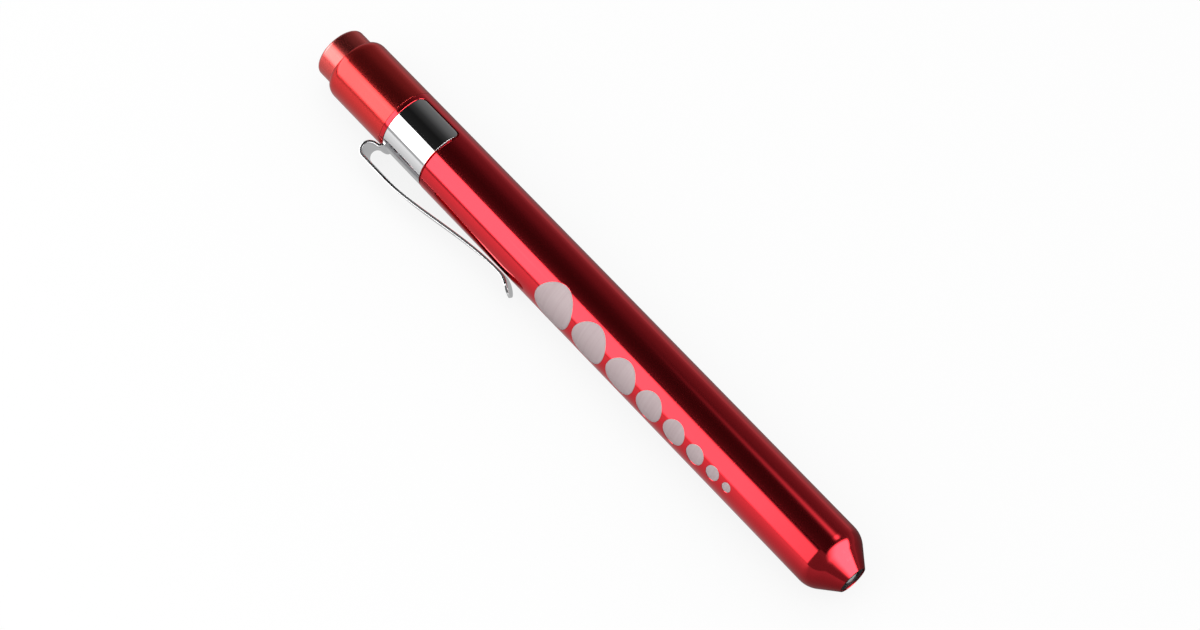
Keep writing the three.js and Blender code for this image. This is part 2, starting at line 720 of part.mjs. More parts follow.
function batterySpring() {
  const { wire, turns, inset, taper } = BATTERY_SPRING;
  const base = terminalRadius - inset;
  return coil('battery_spring', wire, turns, [base, base - taper], [springRear, springFront]);
}

function switchSpring() {
  const { wire, turns, gapToPin } = SWITCH_SPRING;
  const radius = PIN_RADIUS + gapToPin + wire / 2;
  return coil('switch_spring', wire, turns, [radius, radius], [pinHeadFront + SEAT, switchWallRear - SEAT]);
}

// Finishes: colour, roughness, metalness, opacity
const FINISH = {
  redAnodised: [0xb8141f, 0.22, 1.0, 1],
  chrome: [0xd8d8da, 0.08, 1.0, 1],
  blackPlastic: [0x101012, 0.5, 0.0, 1],
  whitePlastic: [0xe6e4dc, 0.45, 0.0, 1],
  clearEpoxy: [0xf2f4f4, 0.05, 0.0, 0.4],
  brass: [0xc9a14a, 0.3, 1.0, 1],
  nickel: [0xb9b6ae, 0.3, 1.0, 1],
  springSteel: [0xa8a9ab, 0.35, 1.0, 1],
  cellJacket: [0x2d3138, 0.4, 0.2, 1],
};

function piece(name, geometry, finish) {
  const [color, roughness, metalness, opacity] = FINISH[finish];
  const material = new THREE.MeshStandardMaterial({
    color, roughness, metalness, opacity, transparent: opacity < 1,
  });
  const mesh = new THREE.Mesh(weld(geometry), material);
  mesh.geometry.computeVertexNormals();
  mesh.name = name;
  return mesh;
}

const light = new THREE.Group();
light.add(
  piece('barrel', barrel(), 'redAnodised'),
  piece('pocket_clip', pocketClip(), 'chrome'),
  piece('lamp_holder', lampHolder(), 'blackPlastic'),
  piece('led_lamp', ledLamp(), 'clearEpoxy'),
  piece('led_anode_lead', anodeLead(), 'nickel'),
  piece('led_cathode_lead', cathodeLead(), 'nickel'),
  piece('contact_disc', contactDisc(), 'brass'),
  piece('ground_ring', groundRing(), 'brass'),
  piece('front_cell', cell(frontCellCap), 'cellJacket'),
  piece('rear_cell', cell(rearCellCap), 'cellJacket'),
  piece('battery_spring', batterySpring(), 'springSteel'),
);

const tail = new THREE.Group();
tail.add(
  piece('tail_sleeve', tailSleeve(), 'redAnodised'),
  piece('push_button', pushButton(), 'redAnodised'),
  piece('threaded_neck', threadedNeck(), 'nickel'),
  piece('ground_washer', ring(washerRear, washerFront, switchOuter + SLIP, innerPieceRadius), 'brass'),
  piece('switch_body', switchBody(), 'blackPlastic'),
  piece('switch_cap', ring(capRear, capFront, STEM_RADIUS + SLIP, innerPieceRadius), 'blackPlastic'),
  piece('switch_stem', switchStem(), 'whitePlastic'),
  piece('ratchet_rotor', ratchetRotor(), 'whitePlastic'),
  piece('contact_pin', contactPin(), 'brass'),
  piece('switch_spring', switchSpring(), 'springSteel'),
  piece('switch_terminal', switchTerminal(), 'brass'),
);
light.add(tail);

// Laid on the table: rolled until the clip's outer corner and the barrel touch the same plane
const armCorner = Math.hypot(armOuter, CLIP_ARM_WIDTH / 2);
const cornerAngle = Math.atan2(CLIP_ARM_WIDTH / 2, armOuter);
const roll = Math.asin(barrelRadius / armCorner) - cornerAngle;
const clipReach = armCorner * Math.cos(roll - cornerAngle);
light.rotation.x = roll;
light.position.set(-(barrelLength + buttonRear) / 2, (clipReach - barrelRadius) / 2, barrelRadius);

const penlight = new THREE.Group();
penlight.add(light);
export default penlight;
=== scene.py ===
"""Looks of a diagnostic penlight: barrel and tail, sprung clip, lamp nose, cells and click switch.

Sizes are in millimetres along the light's own axis, counted from the seam between barrel and tail,
with the nose positive. Angles go round that axis from the clip's arm towards the pupil gauge.
"""

import json
import logging
import math
from collections.abc import Sequence
from dataclasses import dataclass, field, replace
from enum import Enum

import bmesh
import bpy
import numpy as np
from mathutils import Matrix, Vector


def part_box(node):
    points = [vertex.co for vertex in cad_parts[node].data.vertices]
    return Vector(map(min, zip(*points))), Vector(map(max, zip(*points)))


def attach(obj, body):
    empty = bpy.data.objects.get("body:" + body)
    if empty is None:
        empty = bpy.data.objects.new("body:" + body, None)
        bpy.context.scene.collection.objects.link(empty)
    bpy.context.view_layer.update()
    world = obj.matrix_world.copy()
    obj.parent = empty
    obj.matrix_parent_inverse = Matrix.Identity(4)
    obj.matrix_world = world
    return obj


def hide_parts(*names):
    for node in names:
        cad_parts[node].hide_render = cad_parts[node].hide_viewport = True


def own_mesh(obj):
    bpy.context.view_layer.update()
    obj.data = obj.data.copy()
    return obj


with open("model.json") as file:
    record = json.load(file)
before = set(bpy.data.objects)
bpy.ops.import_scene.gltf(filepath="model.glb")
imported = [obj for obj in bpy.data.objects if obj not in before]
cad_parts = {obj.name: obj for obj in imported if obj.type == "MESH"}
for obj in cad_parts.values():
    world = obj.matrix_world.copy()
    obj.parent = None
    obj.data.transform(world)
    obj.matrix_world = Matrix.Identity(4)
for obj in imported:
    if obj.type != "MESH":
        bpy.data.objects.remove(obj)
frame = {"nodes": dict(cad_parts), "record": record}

LOG = logging.getLogger("penlight")
MM = 0.001
FULL_TURN = 2 * math.pi
# Radii that turned edges are rounded to, from the softest to the sharpest.
EASED, BROKEN, CRISP = 0.1, 0.05, 0.03

Colour = tuple[float, float, float]
Table = tuple[tuple[float, float], ...]
Level = float | np.ndarray
Piece = bpy.types.Object
Socket = bpy.types.NodeSocket
Source = Socket | float | tuple[float, ...]


class Body(Enum):
    """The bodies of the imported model."""

    BARREL = "barrel"
    SPRING = "spring"
    TAIL = "tail"
    BUTTON = "button"


class Grain(Enum):
    """The surface that the making leaves on a piece."""

    TURNED = "turned_lines"
    MOULDED = "mould_grain"
    BRUSHED = "brushed_lines"


@dataclass(frozen=True)
class LightAxis:
    """The light's own axis: its origin is the seam, its positive end the nose."""

    origin: Vector
    to_clip: Vector
    to_gauge: Vector

    @classmethod
    def from_frame(cls) -> "LightAxis":
        """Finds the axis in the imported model.

        Returns:
            The axis through the tail sleeve, rolled as the clip's own mount is.
        """
        low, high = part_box("tail_sleeve")
        middle = (low + high) / 2
        grip = next(mount for mount in frame["record"]["mounts"] if mount["name"] == "clip_grip")
        to_clip = -Vector(grip["axis"]).normalized()
        seam = Vector((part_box("barrel")[0].x, middle.y, middle.z))
        return cls(seam, to_clip, to_clip.cross(Vector((1, 0, 0))))

    def point(self, along: np.ndarray, out: np.ndarray, side: np.ndarray) -> np.ndarray:
        """Places points given by three lengths.

        Args:
            along: lengths along the axis from the seam.
            out: lengths from the axis towards the clip's arm.
            side: lengths from the axis towards the gauge's side.

        Returns:
            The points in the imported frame, in metres, with their coordinates last.
        """
        along, out, side = np.broadcast_arrays(along, out, side)
        ways = zip((along, out, side), (Vector((1, 0, 0)), self.to_clip, self.to_gauge))
        steps = sum(length[..., None] * np.array(way) for length, way in ways)
        return np.array(self.origin) + MM * steps

    def place(self, along: np.ndarray, radius: np.ndarray, angle: np.ndarray) -> np.ndarray:
        """Places points given by length, radius and angle.

        Args:
            along: lengths along the axis from the seam.
            radius: distances from the axis.
            angle: angles round the axis from the clip's arm, in radians.

        Returns:
            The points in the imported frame, in metres, with their coordinates last.
        """
        along, radius, angle = np.broadcast_arrays(along, radius, angle)
        return self.point(along, radius * np.cos(angle), radius * np.sin(angle))

    def span(self, node: str) -> tuple[float, float]:
        """Gives a node's rear and front end along the axis."""
        low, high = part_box(node)
        return (low.x - self.origin.x) / MM, (high.x - self.origin.x) / MM

    def radius(self, node: str) -> float:
        """Gives a node's greatest distance from the axis."""
        points = (vertex.co - self.origin for vertex in frame["nodes"][node].data.vertices)
        return max(math.hypot(point.y, point.z) for point in points) / MM


@dataclass(frozen=True)
class Corner:
    """A corner of a turned piece's outline, with the radius it is rounded to."""

    along: float
    radius: float
    rounding: float = 0.0


def turned_outline(corners: Sequence[Corner], closed: bool = True, steps: int = 5) -> np.ndarray:
    """Rounds the corners of a turned piece's outline.

    Args:
        corners: the outline's corners in order.
        closed: whether the outline comes back to its first corner.
        steps: the chords in each rounded corner.

    Returns:
        The outline's points, each a length along the axis and a radius.
    """
    spots = np.array([[corner.along, corner.radius] for corner in corners])
    points: list[np.ndarray] = []
    for number, corner in enumerate(corners):
        spot = spots[number]
        at_end = not closed and number in (0, len(corners) - 1)
        if corner.rounding <= 0 or at_end:
            points.append(spot)
            continue
        before = spots[number - 1] - spot
        after = spots[(number + 1) % len(spots)] - spot
        before = before / np.linalg.norm(before)
        after = after / np.linalg.norm(after)
        half = math.acos(float(np.clip(before @ after, -1, 1))) / 2
        middle = (before + after) / np.linalg.norm(before + after)
        centre = spot + middle * corner.rounding / math.sin(half)
        start = spot + before * corner.rounding / math.tan(half) - centre
        end = spot + after * corner.rounding / math.tan(half) - centre
        first = math.atan2(start[1], start[0])
        sweep = (math.atan2(end[1], end[0]) - first + math.pi) % FULL_TURN - math.pi
        for turn in first + sweep * np.linspace(0, 1, steps + 1):
            points.append(centre + corner.rounding * np.array([math.cos(turn), math.sin(turn)]))
    if closed:
        points.append(points[0])
    return np.array(points)


def ease(value: np.ndarray, middle: Level, half: Level) -> np.ndarray:
    """Gives a smooth step from 0 to 1.

    Args:
        value: the values to grade.
        middle: where the step is half way.
        half: half its width.

    Returns:
        The share at each value.
    """
    share = np.clip((value - middle) / (2 * half) + 0.5, 0, 1)
    return share * share * (3 - 2 * share)


def graded(value: np.ndarray, table: Table) -> np.ndarray:
    """Reads a table of places and levels, evenly graded between its rows."""
    return np.interp(value, *zip(*table))


def round_columns(count: int) -> np.ndarray:
    """Gives evenly spaced angles once round the axis."""
    return np.arange(count) * FULL_TURN / count


def grid_faces(index: np.ndarray) -> list[list[int]]:
    """Gives the faces between neighbouring rows and columns of numbered points."""
    corners = (index[:-1, :-1], index[:-1, 1:], index[1:, 1:], index[1:, :-1])
    return np.stack(corners, axis=-1).reshape(-1, 4).tolist()


class MeshDraft:
    """The faces of one piece, gathered patch by patch and welded into one mesh."""

    WELD = 1e-7
    # Faces bent more than this are rounded edges, lightened for abrasion and a painted highlight.
    WORN_AND_HIGHLIT_BEND = math.radians(7)
    CREASE = math.radians(38)
    FLAT_WEIGHT = 100

    def __init__(self) -> None:
        """Starts an empty draft."""
        self.points: list[np.ndarray] = []
        self.faces: list[list[int]] = []
        self.count = 0

    def grid(self, rows: np.ndarray, joined: bool = False) -> None:
        """Adds the faces between neighbouring rows of points.

        Args:
            rows: the points by row and column.
            joined: whether the last column meets the first.
        """
        index = self.count + np.arange(rows.size // 3).reshape(rows.shape[:2])
        self.points.append(rows.reshape(-1, 3))
        self.count += index.size
        if joined:
            index = np.concatenate([index, index[:, :1]], axis=1)
        self.faces.extend(grid_faces(index))

    def revolve(self, axis: LightAxis, outline: np.ndarray, columns: np.ndarray) -> None:
        """Adds a turned surface.

        Args:
            axis: the light's axis.
            outline: points as lengths along the axis and radii.
            columns: the angles of the surface's columns.
        """
        self.grid(axis.place(outline[:, :1], outline[:, 1:], columns[None, :]), joined=True)

    def build(self, name: str) -> Piece:
        """Welds the patches, turns the faces out and marks the rounded edges, whose colour is
        lightened for abrasion and a painted highlight.

        Args:
            name: the piece's name.

        Returns:
            The piece, in the scene, with a value on the faces of its rounded edges that marks them
            for abrasion and a painted highlight.
        """
        mesh = bpy.data.meshes.new(name)
        mesh.from_pydata(np.concatenate(self.points).tolist(), [], self.faces)
        shape = bmesh.new()
        shape.from_mesh(mesh)
        bmesh.ops.remove_doubles(shape, verts=shape.verts, dist=self.WELD)
        bmesh.ops.dissolve_degenerate(shape, edges=shape.edges, dist=self.WELD)
        bmesh.ops.recalc_face_normals(shape, faces=shape.faces)
        # Rounded edges are marked for a lighter colour: partly abrasion, partly a painted
        # highlight.
        wear_and_highlight = shape.loops.layers.float.new("wear_and_highlight")
        for face in shape.faces:
            face.smooth = True
            bends = sorted((edge.calc_face_angle_signed(0.0) for edge in face.edges), reverse=True)
            if bends[1] > self.WORN_AND_HIGHLIT_BEND:
                for loop in face.loops:
                    loop[wear_and_highlight] = 1.0
        shape.to_mesh(mesh)
        shape.free()
        mesh.set_sharp_from_angle(angle=self.CREASE)
        piece = bpy.data.objects.new(name, mesh)
        bpy.context.scene.collection.objects.link(piece)
        flat = piece.modifiers.new("flat_faces", "WEIGHTED_NORMAL")
        flat.keep_sharp = True
        flat.weight = self.FLAT_WEIGHT
        return piece


def turned_piece(name: str, axis: LightAxis, outline: np.ndarray, columns: int) -> Piece:
    """Builds a piece turned on the light's axis.

    Args:
        name: the piece's name.
        axis: the light's axis.
        outline: points as lengths along the axis and radii.
        columns: the facets round the axis.

    Returns:
        The piece.
    """
    draft = MeshDraft()
    draft.revolve(axis, outline, round_columns(columns))
    return draft.build(name)


class NodeTree:
    """A small hand for laying out shader nodes."""

    MIX_SHARE, MIX_FIRST, MIX_SECOND, MIX_RESULT = 0, 6, 7, 2

    def __init__(self, tree: bpy.types.NodeTree) -> None:
        """Takes the tree that the nodes go into."""
        self.tree = tree

    def add(self, kind: str, **settings: object) -> bpy.types.Node:
        """Adds a node.

        Args:
            kind: the node's type without the word ShaderNode.
            settings: properties of the node.

        Returns:
            The new node.
        """
        node = self.tree.nodes.new("ShaderNode" + kind)
        for key, value in settings.items():
            setattr(node, key, value)
        return node

    def feed(self, socket: Socket, source: Source) -> None:
        """Links an output to a socket, or sets the socket's own value.

        Args:
            socket: the socket to feed.
            source: the output or the value that it gets.
        """
        if isinstance(source, Socket):
            self.tree.links.new(source, socket)
        else:
            socket.default_value = source

    def sums(self, operation: str, first: Source, second: Source = 0.0) -> Socket:
        """Adds a sum of two values and gives its result.

        Args:
            operation: the kind of sum.
            first: the first value.
            second: the second value.

        Returns:
            The sum's result.
        """
        node = self.add("Math", operation=operation)
        self.feed(node.inputs[0], first)
        self.feed(node.inputs[1], second)
        return node.outputs[0]

    def spread(self, value: Source, ends: tuple[Source, Source, Source, Source]) -> Socket:
        """Maps a value from one range to another.

        Args:
            value: the value to map.
            ends: the range's least and most, then those of the result.

        Returns:
            The mapped value, kept between the result's ends.
        """
        node = self.add("MapRange", clamp=True)
        self.feed(node.inputs["Value"], value)
        for socket, end in zip(("From Min", "From Max", "To Min", "To Max"), ends):
            self.feed(node.inputs[socket], end)
        return node.outputs["Result"]

    def blend(self, share: Source, first: Source, second: Source) -> Socket:
        """Mixes two colours by a share and gives the mix.

        Args:
            share: how much of the second colour there is.
            first: the first colour.
            second: the second colour.

        Returns:
            The mixed colour.
        """
        node = self.add("Mix", data_type="RGBA")
        self.feed(node.inputs[self.MIX_SHARE], share)
        self.feed(node.inputs[self.MIX_FIRST], first)
        self.feed(node.inputs[self.MIX_SECOND], second)
        return node.outputs[self.MIX_RESULT]

    def noise(self, where: Source, scale: Source, detail: float) -> Socket:
        """Adds noise at a place and gives its value.

        Args:
            where: the place.
            scale: how fine the noise is.
            detail: how much finer detail it has.

        Returns:
            The noise's value.
        """
        node = self.add("TexNoise")
        self.feed(node.inputs["Vector"], where)
        self.feed(node.inputs["Scale"], scale)
        self.feed(node.inputs["Detail"], detail)
        return node.outputs["Fac"]

    def place(self) -> Socket:
        """Gives the place on the piece, which moves with it."""
        return self.add("TexCoord").outputs["Object"]

    def stretched(self, where: Source, by: Colour, turn: Colour = (0.0, 0.0, 0.0)) -> Socket:
        """Turns and stretches a place and gives the new one.

        Args:
            where: the place.
            by: the stretch along each side.
            turn: the turn about each side.

        Returns:
            The new place.
        """
        node = self.add("Mapping")
        self.feed(node.inputs["Vector"], where)
        node.inputs["Scale"].default_value = by
        node.inputs["Rotation"].default_value = turn
        return node.outputs["Vector"]


class EffectGroup(NodeTree):
    """A shader node group with named sockets."""

    def __init__(self, name: str, inputs: dict[str, float], outputs: Sequence[str]) -> None:
        """Makes the group and its sockets.

        Args:
            name: the group's name.
            inputs: the names of its values and their usual size.
            outputs: the names of what it puts out.
        """
        super().__init__(bpy.data.node_groups.new(name, "ShaderNodeTree"))
        sockets = self.tree.interface
        for label, value in inputs.items():
            socket = sockets.new_socket(name=label, in_out="INPUT", socket_type="NodeSocketFloat")
            socket.default_value = value
        for label in outputs:
            sockets.new_socket(name=label, in_out="OUTPUT", socket_type="NodeSocketFloat")
        self.given = self.tree.nodes.new("NodeGroupInput").outputs
        self.result = self.tree.nodes.new("NodeGroupOutput").inputs


class Effects:
    """The surface effects that the finishes share, each a node group built once."""

    UNIT = (0.0, 1.0)
    SMUDGED = (0.35, 0.7)
    SCRATCHED = (0.68, 0.74)
    SCRATCH_STRETCH = (0.03, 1.0, 1.0)
    SCRATCH_TURNS = ((0.3, 0.2, 0.5), (0.9, -0.4, -0.3))
    WORN_AND_HIGHLIT = (0.3, 0.65, 0.35, 1.0)

    def __init__(self) -> None:
        """Builds every group."""
        self.smudges = self._smudges()
        self.scratches = self._scratches()
        self.edge_wear_and_highlight = self._edge_wear_and_highlight()
        self.grain = {
            Grain.TURNED: self._grain(Grain.TURNED, 3.0, (0.3, 0.7), (1.0, 0.02, 0.02)),
            Grain.BRUSHED: self._grain(Grain.BRUSHED, 3.0, (0.3, 0.7), (0.04, 1.0, 1.0)),
            Grain.MOULDED: self._grain(Grain.MOULDED, 4.0, (0.35, 0.65)),
        }

    def _smudges(self) -> EffectGroup:
        """Soft patches where handling has dulled the surface.

        Returns:
            A group that puts out a roughness and a tone.
        """
        values = {"Scale": 60.0, "Least": 0.1, "Most": 0.2}
        group = EffectGroup("smudges", values, ("Roughness", "Tone"))
        broad = group.noise(group.place(), group.given["Scale"], 4.0)
        tone = group.spread(broad, (*self.SMUDGED, *self.UNIT))
        ends = (*self.UNIT, group.given["Least"], group.given["Most"])
        group.feed(group.result["Roughness"], group.spread(tone, ends))
        group.feed(group.result["Tone"], tone)
        return group

    def _scratches(self) -> EffectGroup:
        """Hair scratches in two directions.

        Returns:
            A group that puts out a mask of the scratches.
        """
        group = EffectGroup("hair_scratches", {"Scale": 900.0, "Amount": 0.3}, ("Mask",))
        masks = []
        for turn in self.SCRATCH_TURNS:
            where = group.stretched(group.place(), self.SCRATCH_STRETCH, turn)
            lines = group.noise(where, group.given["Scale"], 1.0)
            masks.append(group.spread(lines, (*self.SCRATCHED, *self.UNIT)))
        both = group.sums("MAXIMUM", *masks)
        group.feed(group.result["Mask"], group.sums("MULTIPLY", both, group.given["Amount"]))
        return group

    def _edge_wear_and_highlight(self) -> EffectGroup:
        """Lighter colour on the edges that the mesh marks: partly a thinned finish, partly a
        painted highlight.

        Returns:
            A group that puts out a mask of the lightened edge places.
        """
        group = EffectGroup("edge_wear_and_highlight", {"Scale": 1500.0, "Amount": 0.5}, ("Mask",))
        marked = group.add("Attribute", attribute_name="wear_and_highlight").outputs["Fac"]
        broken = group.spread(group.noise(group.place(), group.given["Scale"], 3.0), self.WORN_AND_HIGHLIT)
        mask = group.sums("MULTIPLY", marked, broken)
        group.feed(group.result["Mask"], group.sums("MULTIPLY", mask, group.given["Amount"]))
        return group

    def _grain(self, kind: Grain, detail: float, limits: tuple[float, float],
               stretch: Colour | None = None) -> EffectGroup:
        """Fine lines left by a tool, or the fine spark-eroded grain of a mould.

        Args:
            kind: the grain that the group makes.
            detail: how much finer detail the grain has.
            limits: the heights where its tone begins and ends.
            stretch: how lines are drawn out along each side of the frame, for lines only.

        Returns:
            A group that puts out a height and a tone.
        """
        group = EffectGroup(kind.value, {"Scale": 4000.0}, ("Height", "Tone"))
        where = group.stretched(group.place(), stretch) if stretch else group.place()
        height = group.noise(where, group.given["Scale"], detail)
        group.feed(group.result["Height"], height)
        group.feed(group.result["Tone"], group.spread(height, (*limits, *self.UNIT)))
        return group


@dataclass(frozen=True)
class Finish:
    """One finish of the light, with how it varies over a surface."""

    SCRATCH_TONE = 0.5
    SCRATCH_DULLING = 0.3

    name: str
    slot: str
    colour: Colour
    second: Colour
    roughness: tuple[float, float]
    metallic: float
    grain: Grain
    grain_scale: float = 4000.0
    grain_depth: float = 0.002
    grain_tone: float = 0.3
    smudge_scale: float = 60.0
    scratches: float = 0.1
    # The lighter colour of rounded edges and how much of it: partly abrasion, partly a painted
    # highlight.
    worn_and_highlit: Colour = (0.8, 0.8, 0.8)
    wear_and_highlight: float = 0.3
    ior: float = 1.5
    transmission: float = 0.0

    def material(self, effects: Effects) -> bpy.types.Material:
        """Makes the finish's material.

        Args:
            effects: the shared node groups.

        Returns:
            A material whose colour, roughness and relief come from its nodes.
        """
        material = bpy.data.materials.new(self.name)
        material.use_nodes = True
        nodes = NodeTree(material.node_tree)
        shader = material.node_tree.nodes["Principled BSDF"].inputs
        shader["Metallic"].default_value = self.metallic
        shader["IOR"].default_value = self.ior
        shader["Transmission Weight"].default_value = self.transmission
        smudges = self._effect(nodes, effects.smudges, Scale=self.smudge_scale,
                               Least=self.roughness[0], Most=self.roughness[1])
        scratches = self._effect(nodes, effects.scratches, Amount=self.scratches)
        wear_and_highlight = self._effect(nodes, effects.edge_wear_and_highlight, Amount=self.wear_and_highlight)
        grain = self._effect(nodes, effects.grain[self.grain], Scale=self.grain_scale)
        tone = nodes.sums("MULTIPLY", grain["Tone"], self.grain_tone)
        tone = nodes.sums("ADD", tone, nodes.sums("MULTIPLY", smudges["Tone"], 1 - self.grain_tone))
        body = nodes.blend(tone, (*self.colour, 1.0), (*self.second, 1.0))
        scratched = nodes.sums("MULTIPLY", scratches["Mask"], self.SCRATCH_TONE)
        marks = nodes.sums("MAXIMUM", wear_and_highlight["Mask"], scratched)
        # The edge mask lightens rounded edges: partly abrasion, partly a painted highlight.
        nodes.feed(shader["Base Color"], nodes.blend(marks, body, (*self.worn_and_highlit, 1.0)))
        dulled = nodes.sums("MULTIPLY", scratches["Mask"], self.SCRATCH_DULLING)
        nodes.feed(shader["Roughness"], nodes.sums("ADD", smudges["Roughness"], dulled))
        bump = nodes.add("Bump")
        bump.inputs["Strength"].default_value = 1.0
        bump.inputs["Distance"].default_value = self.grain_depth * MM
        nodes.feed(bump.inputs["Height"], grain["Height"])
        nodes.feed(shader["Normal"], bump.outputs["Normal"])
        return material

    @staticmethod
    def _effect(nodes: NodeTree, effect: EffectGroup, **values: float) -> bpy.types.NodeOutputs:
        """Places a shared group with its own values and gives its outputs.

        Args:
            nodes: the material's nodes.
            effect: the shared group.
            values: the group's own values.

        Returns:
            The group's outputs.
        """
        group = nodes.add("Group", node_tree=effect.tree)
        for label, value in values.items():
            group.inputs[label].default_value = value
        return group.outputs


# Each finish's edge colour lightens rounded edges: partly abrasion, partly a painted highlight.
RED_ANODISED = Finish(
    "red_anodised_polish", "red_anodised", (0.74, 0.031, 0.043), (0.71, 0.028, 0.039),
    (0.09, 0.12), 0.96, Grain.TURNED, grain_scale=9000.0, grain_depth=0.0001,
    worn_and_highlit=(0.88, 0.14, 0.17), wear_and_highlight=0.2, scratches=0.05)
TAIL_RED = replace(
    RED_ANODISED, name="red_anodised_tail", colour=(0.74, 0.044, 0.043),
    second=(0.71, 0.040, 0.039), roughness=(0.15, 0.19), worn_and_highlit=(0.88, 0.17, 0.17))
BUTTON_RED = Finish(
    "red_anodised_satin", "button_red", (0.80, 0.108, 0.100), (0.74, 0.090, 0.084),
    (0.22, 0.30), 1.0, Grain.TURNED, grain_scale=7000.0, grain_depth=0.0008,
    worn_and_highlit=(0.90, 0.36, 0.35), wear_and_highlight=0.4)
GAUGE_ETCH = Finish(
    "etched_aluminium", "red_anodised", (0.60, 0.49, 0.50), (0.53, 0.41, 0.425), (0.6, 0.7),
    0.0, Grain.TURNED, grain_scale=2500.0, grain_depth=0.004, grain_tone=0.6,
    worn_and_highlit=(0.66, 0.60, 0.60), wear_and_highlight=0.7)
CLIP_CHROME = Finish(
    "mirror_chrome", "chrome_clip", (0.82, 0.82, 0.83), (0.78, 0.78, 0.79), (0.03, 0.05), 1.0,
    Grain.BRUSHED, grain_scale=3000.0, grain_depth=0.0001, worn_and_highlit=(0.88, 0.88, 0.88), wear_and_highlight=0.1,
    scratches=0.05)
HOLDER_BLACK = Finish(
    "moulded_black", "black_plastic", (0.012, 0.012, 0.014), (0.022, 0.022, 0.024),
    (0.38, 0.52), 0.0, Grain.MOULDED, grain_depth=0.004, worn_and_highlit=(0.09, 0.09, 0.09), wear_and_highlight=0.4)
NATURAL_WHITE = Finish(
    "moulded_natural", "white_plastic", (0.80, 0.78, 0.72), (0.74, 0.72, 0.66), (0.35, 0.5),
    0.0, Grain.MOULDED, grain_depth=0.003, worn_and_highlit=(0.86, 0.85, 0.80), wear_and_highlight=0.3)
LAMP_EPOXY = Finish(
    "clear_cast_epoxy", "clear_epoxy", (0.95, 0.96, 0.96), (0.90, 0.92, 0.93), (0.05, 0.12),
    0.0, Grain.MOULDED, grain_depth=0.0002, worn_and_highlit=(0.96, 0.96, 0.96), wear_and_highlight=0.1, ior=1.54,
    transmission=0.2)
LAMP_PHOSPHOR = Finish(
    "lamp_phosphor", "clear_epoxy", (0.86, 0.70, 0.20), (0.80, 0.62, 0.15), (0.5, 0.6), 0.0,
    Grain.MOULDED, grain_depth=0.003, worn_and_highlit=(0.9, 0.8, 0.4), wear_and_highlight=0.2)
TINNED_WIRE = Finish(
    "tinned_wire", "tinned_lead", (0.72, 0.71, 0.68), (0.62, 0.61, 0.59), (0.22, 0.34), 1.0,
    Grain.BRUSHED, worn_and_highlit=(0.85, 0.84, 0.82))
BRASS = Finish(
    "stamped_brass", "brass_contact", (0.72, 0.52, 0.20), (0.62, 0.43, 0.16), (0.2, 0.34), 1.0,
    Grain.BRUSHED, worn_and_highlit=(0.88, 0.72, 0.40), wear_and_highlight=0.5)
BARE_ALUMINIUM = Finish(
    "turned_aluminium", "plated_neck", (0.66, 0.655, 0.64), (0.58, 0.575, 0.56), (0.22, 0.32),
    1.0, Grain.TURNED, grain_scale=12000.0, grain_depth=0.002, worn_and_highlit=(0.85, 0.85, 0.84),
    wear_and_highlight=0.5)
SPRING_WIRE = Finish(
    "drawn_wire", "spring_steel", (0.58, 0.58, 0.59), (0.48, 0.48, 0.49), (0.2, 0.3), 1.0,
    Grain.BRUSHED, worn_and_highlit=(0.8, 0.8, 0.8))
CELL_JACKET = Finish(
    "plain_cell_jacket", "cell_jacket", (0.020, 0.022, 0.028), (0.032, 0.034, 0.040),
    (0.25, 0.36), 0.3, Grain.MOULDED, grain_depth=0.002, worn_and_highlit=(0.25, 0.25, 0.26), wear_and_highlight=0.35)
CELL_STEEL = Finish(
    "nickelled_can", "cell_jacket", (0.68, 0.67, 0.64), (0.58, 0.57, 0.54), (0.2, 0.3), 1.0,
    Grain.TURNED, worn_and_highlit=(0.86, 0.85, 0.83), wear_and_highlight=0.4)


class Dresser:
    """Gives pieces their finish and body."""

    def __init__(self) -> None:
        """Builds the shared effects."""
        self.effects = Effects()
        self.materials: dict[str, bpy.types.Material] = {}

    def _material(self, finish: Finish) -> bpy.types.Material:
        """Gives a finish's material, made when it is first asked for.

        Args:
            finish: the finish.

        Returns:
            Its material.
        """
        if finish.name not in self.materials:
            self.materials[finish.name] = finish.material(self.effects)
        return self.materials[finish.name]

    def dress(self, piece: Piece, finish: Finish, body: Body, *stands_for: str) -> None:
        """Finishes a new piece and hangs it on its body.

        Args:
            piece: the new piece.
            finish: the finish it gets.
            body: the body that it moves with.
            stands_for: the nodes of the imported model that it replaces.
        """
        piece.data.materials.append(self._material(finish))
        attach(piece, body.value)
        if stands_for:
            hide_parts(*stands_for)
        faces = len(piece.data.polygons)
        LOG.info("%s: %s on %s, %d faces", piece.name, finish.name, body.value, faces)

    def keep(self, finish: Finish, *nodes: str) -> None:
        """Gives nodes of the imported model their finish.

        Args:
            finish: the finish they get.
            nodes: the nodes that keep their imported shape.
        """
        for node in nodes:
            piece = frame["nodes"][node]
            for slot in piece.material_slots:
                slot.link = "OBJECT"
            if not piece.material_slots:
                piece.data.materials.append(None)
            for slot in piece.material_slots:
                slot.material = self._material(finish)
            LOG.info("%s: kept from the packed model, %s", node, finish.name)


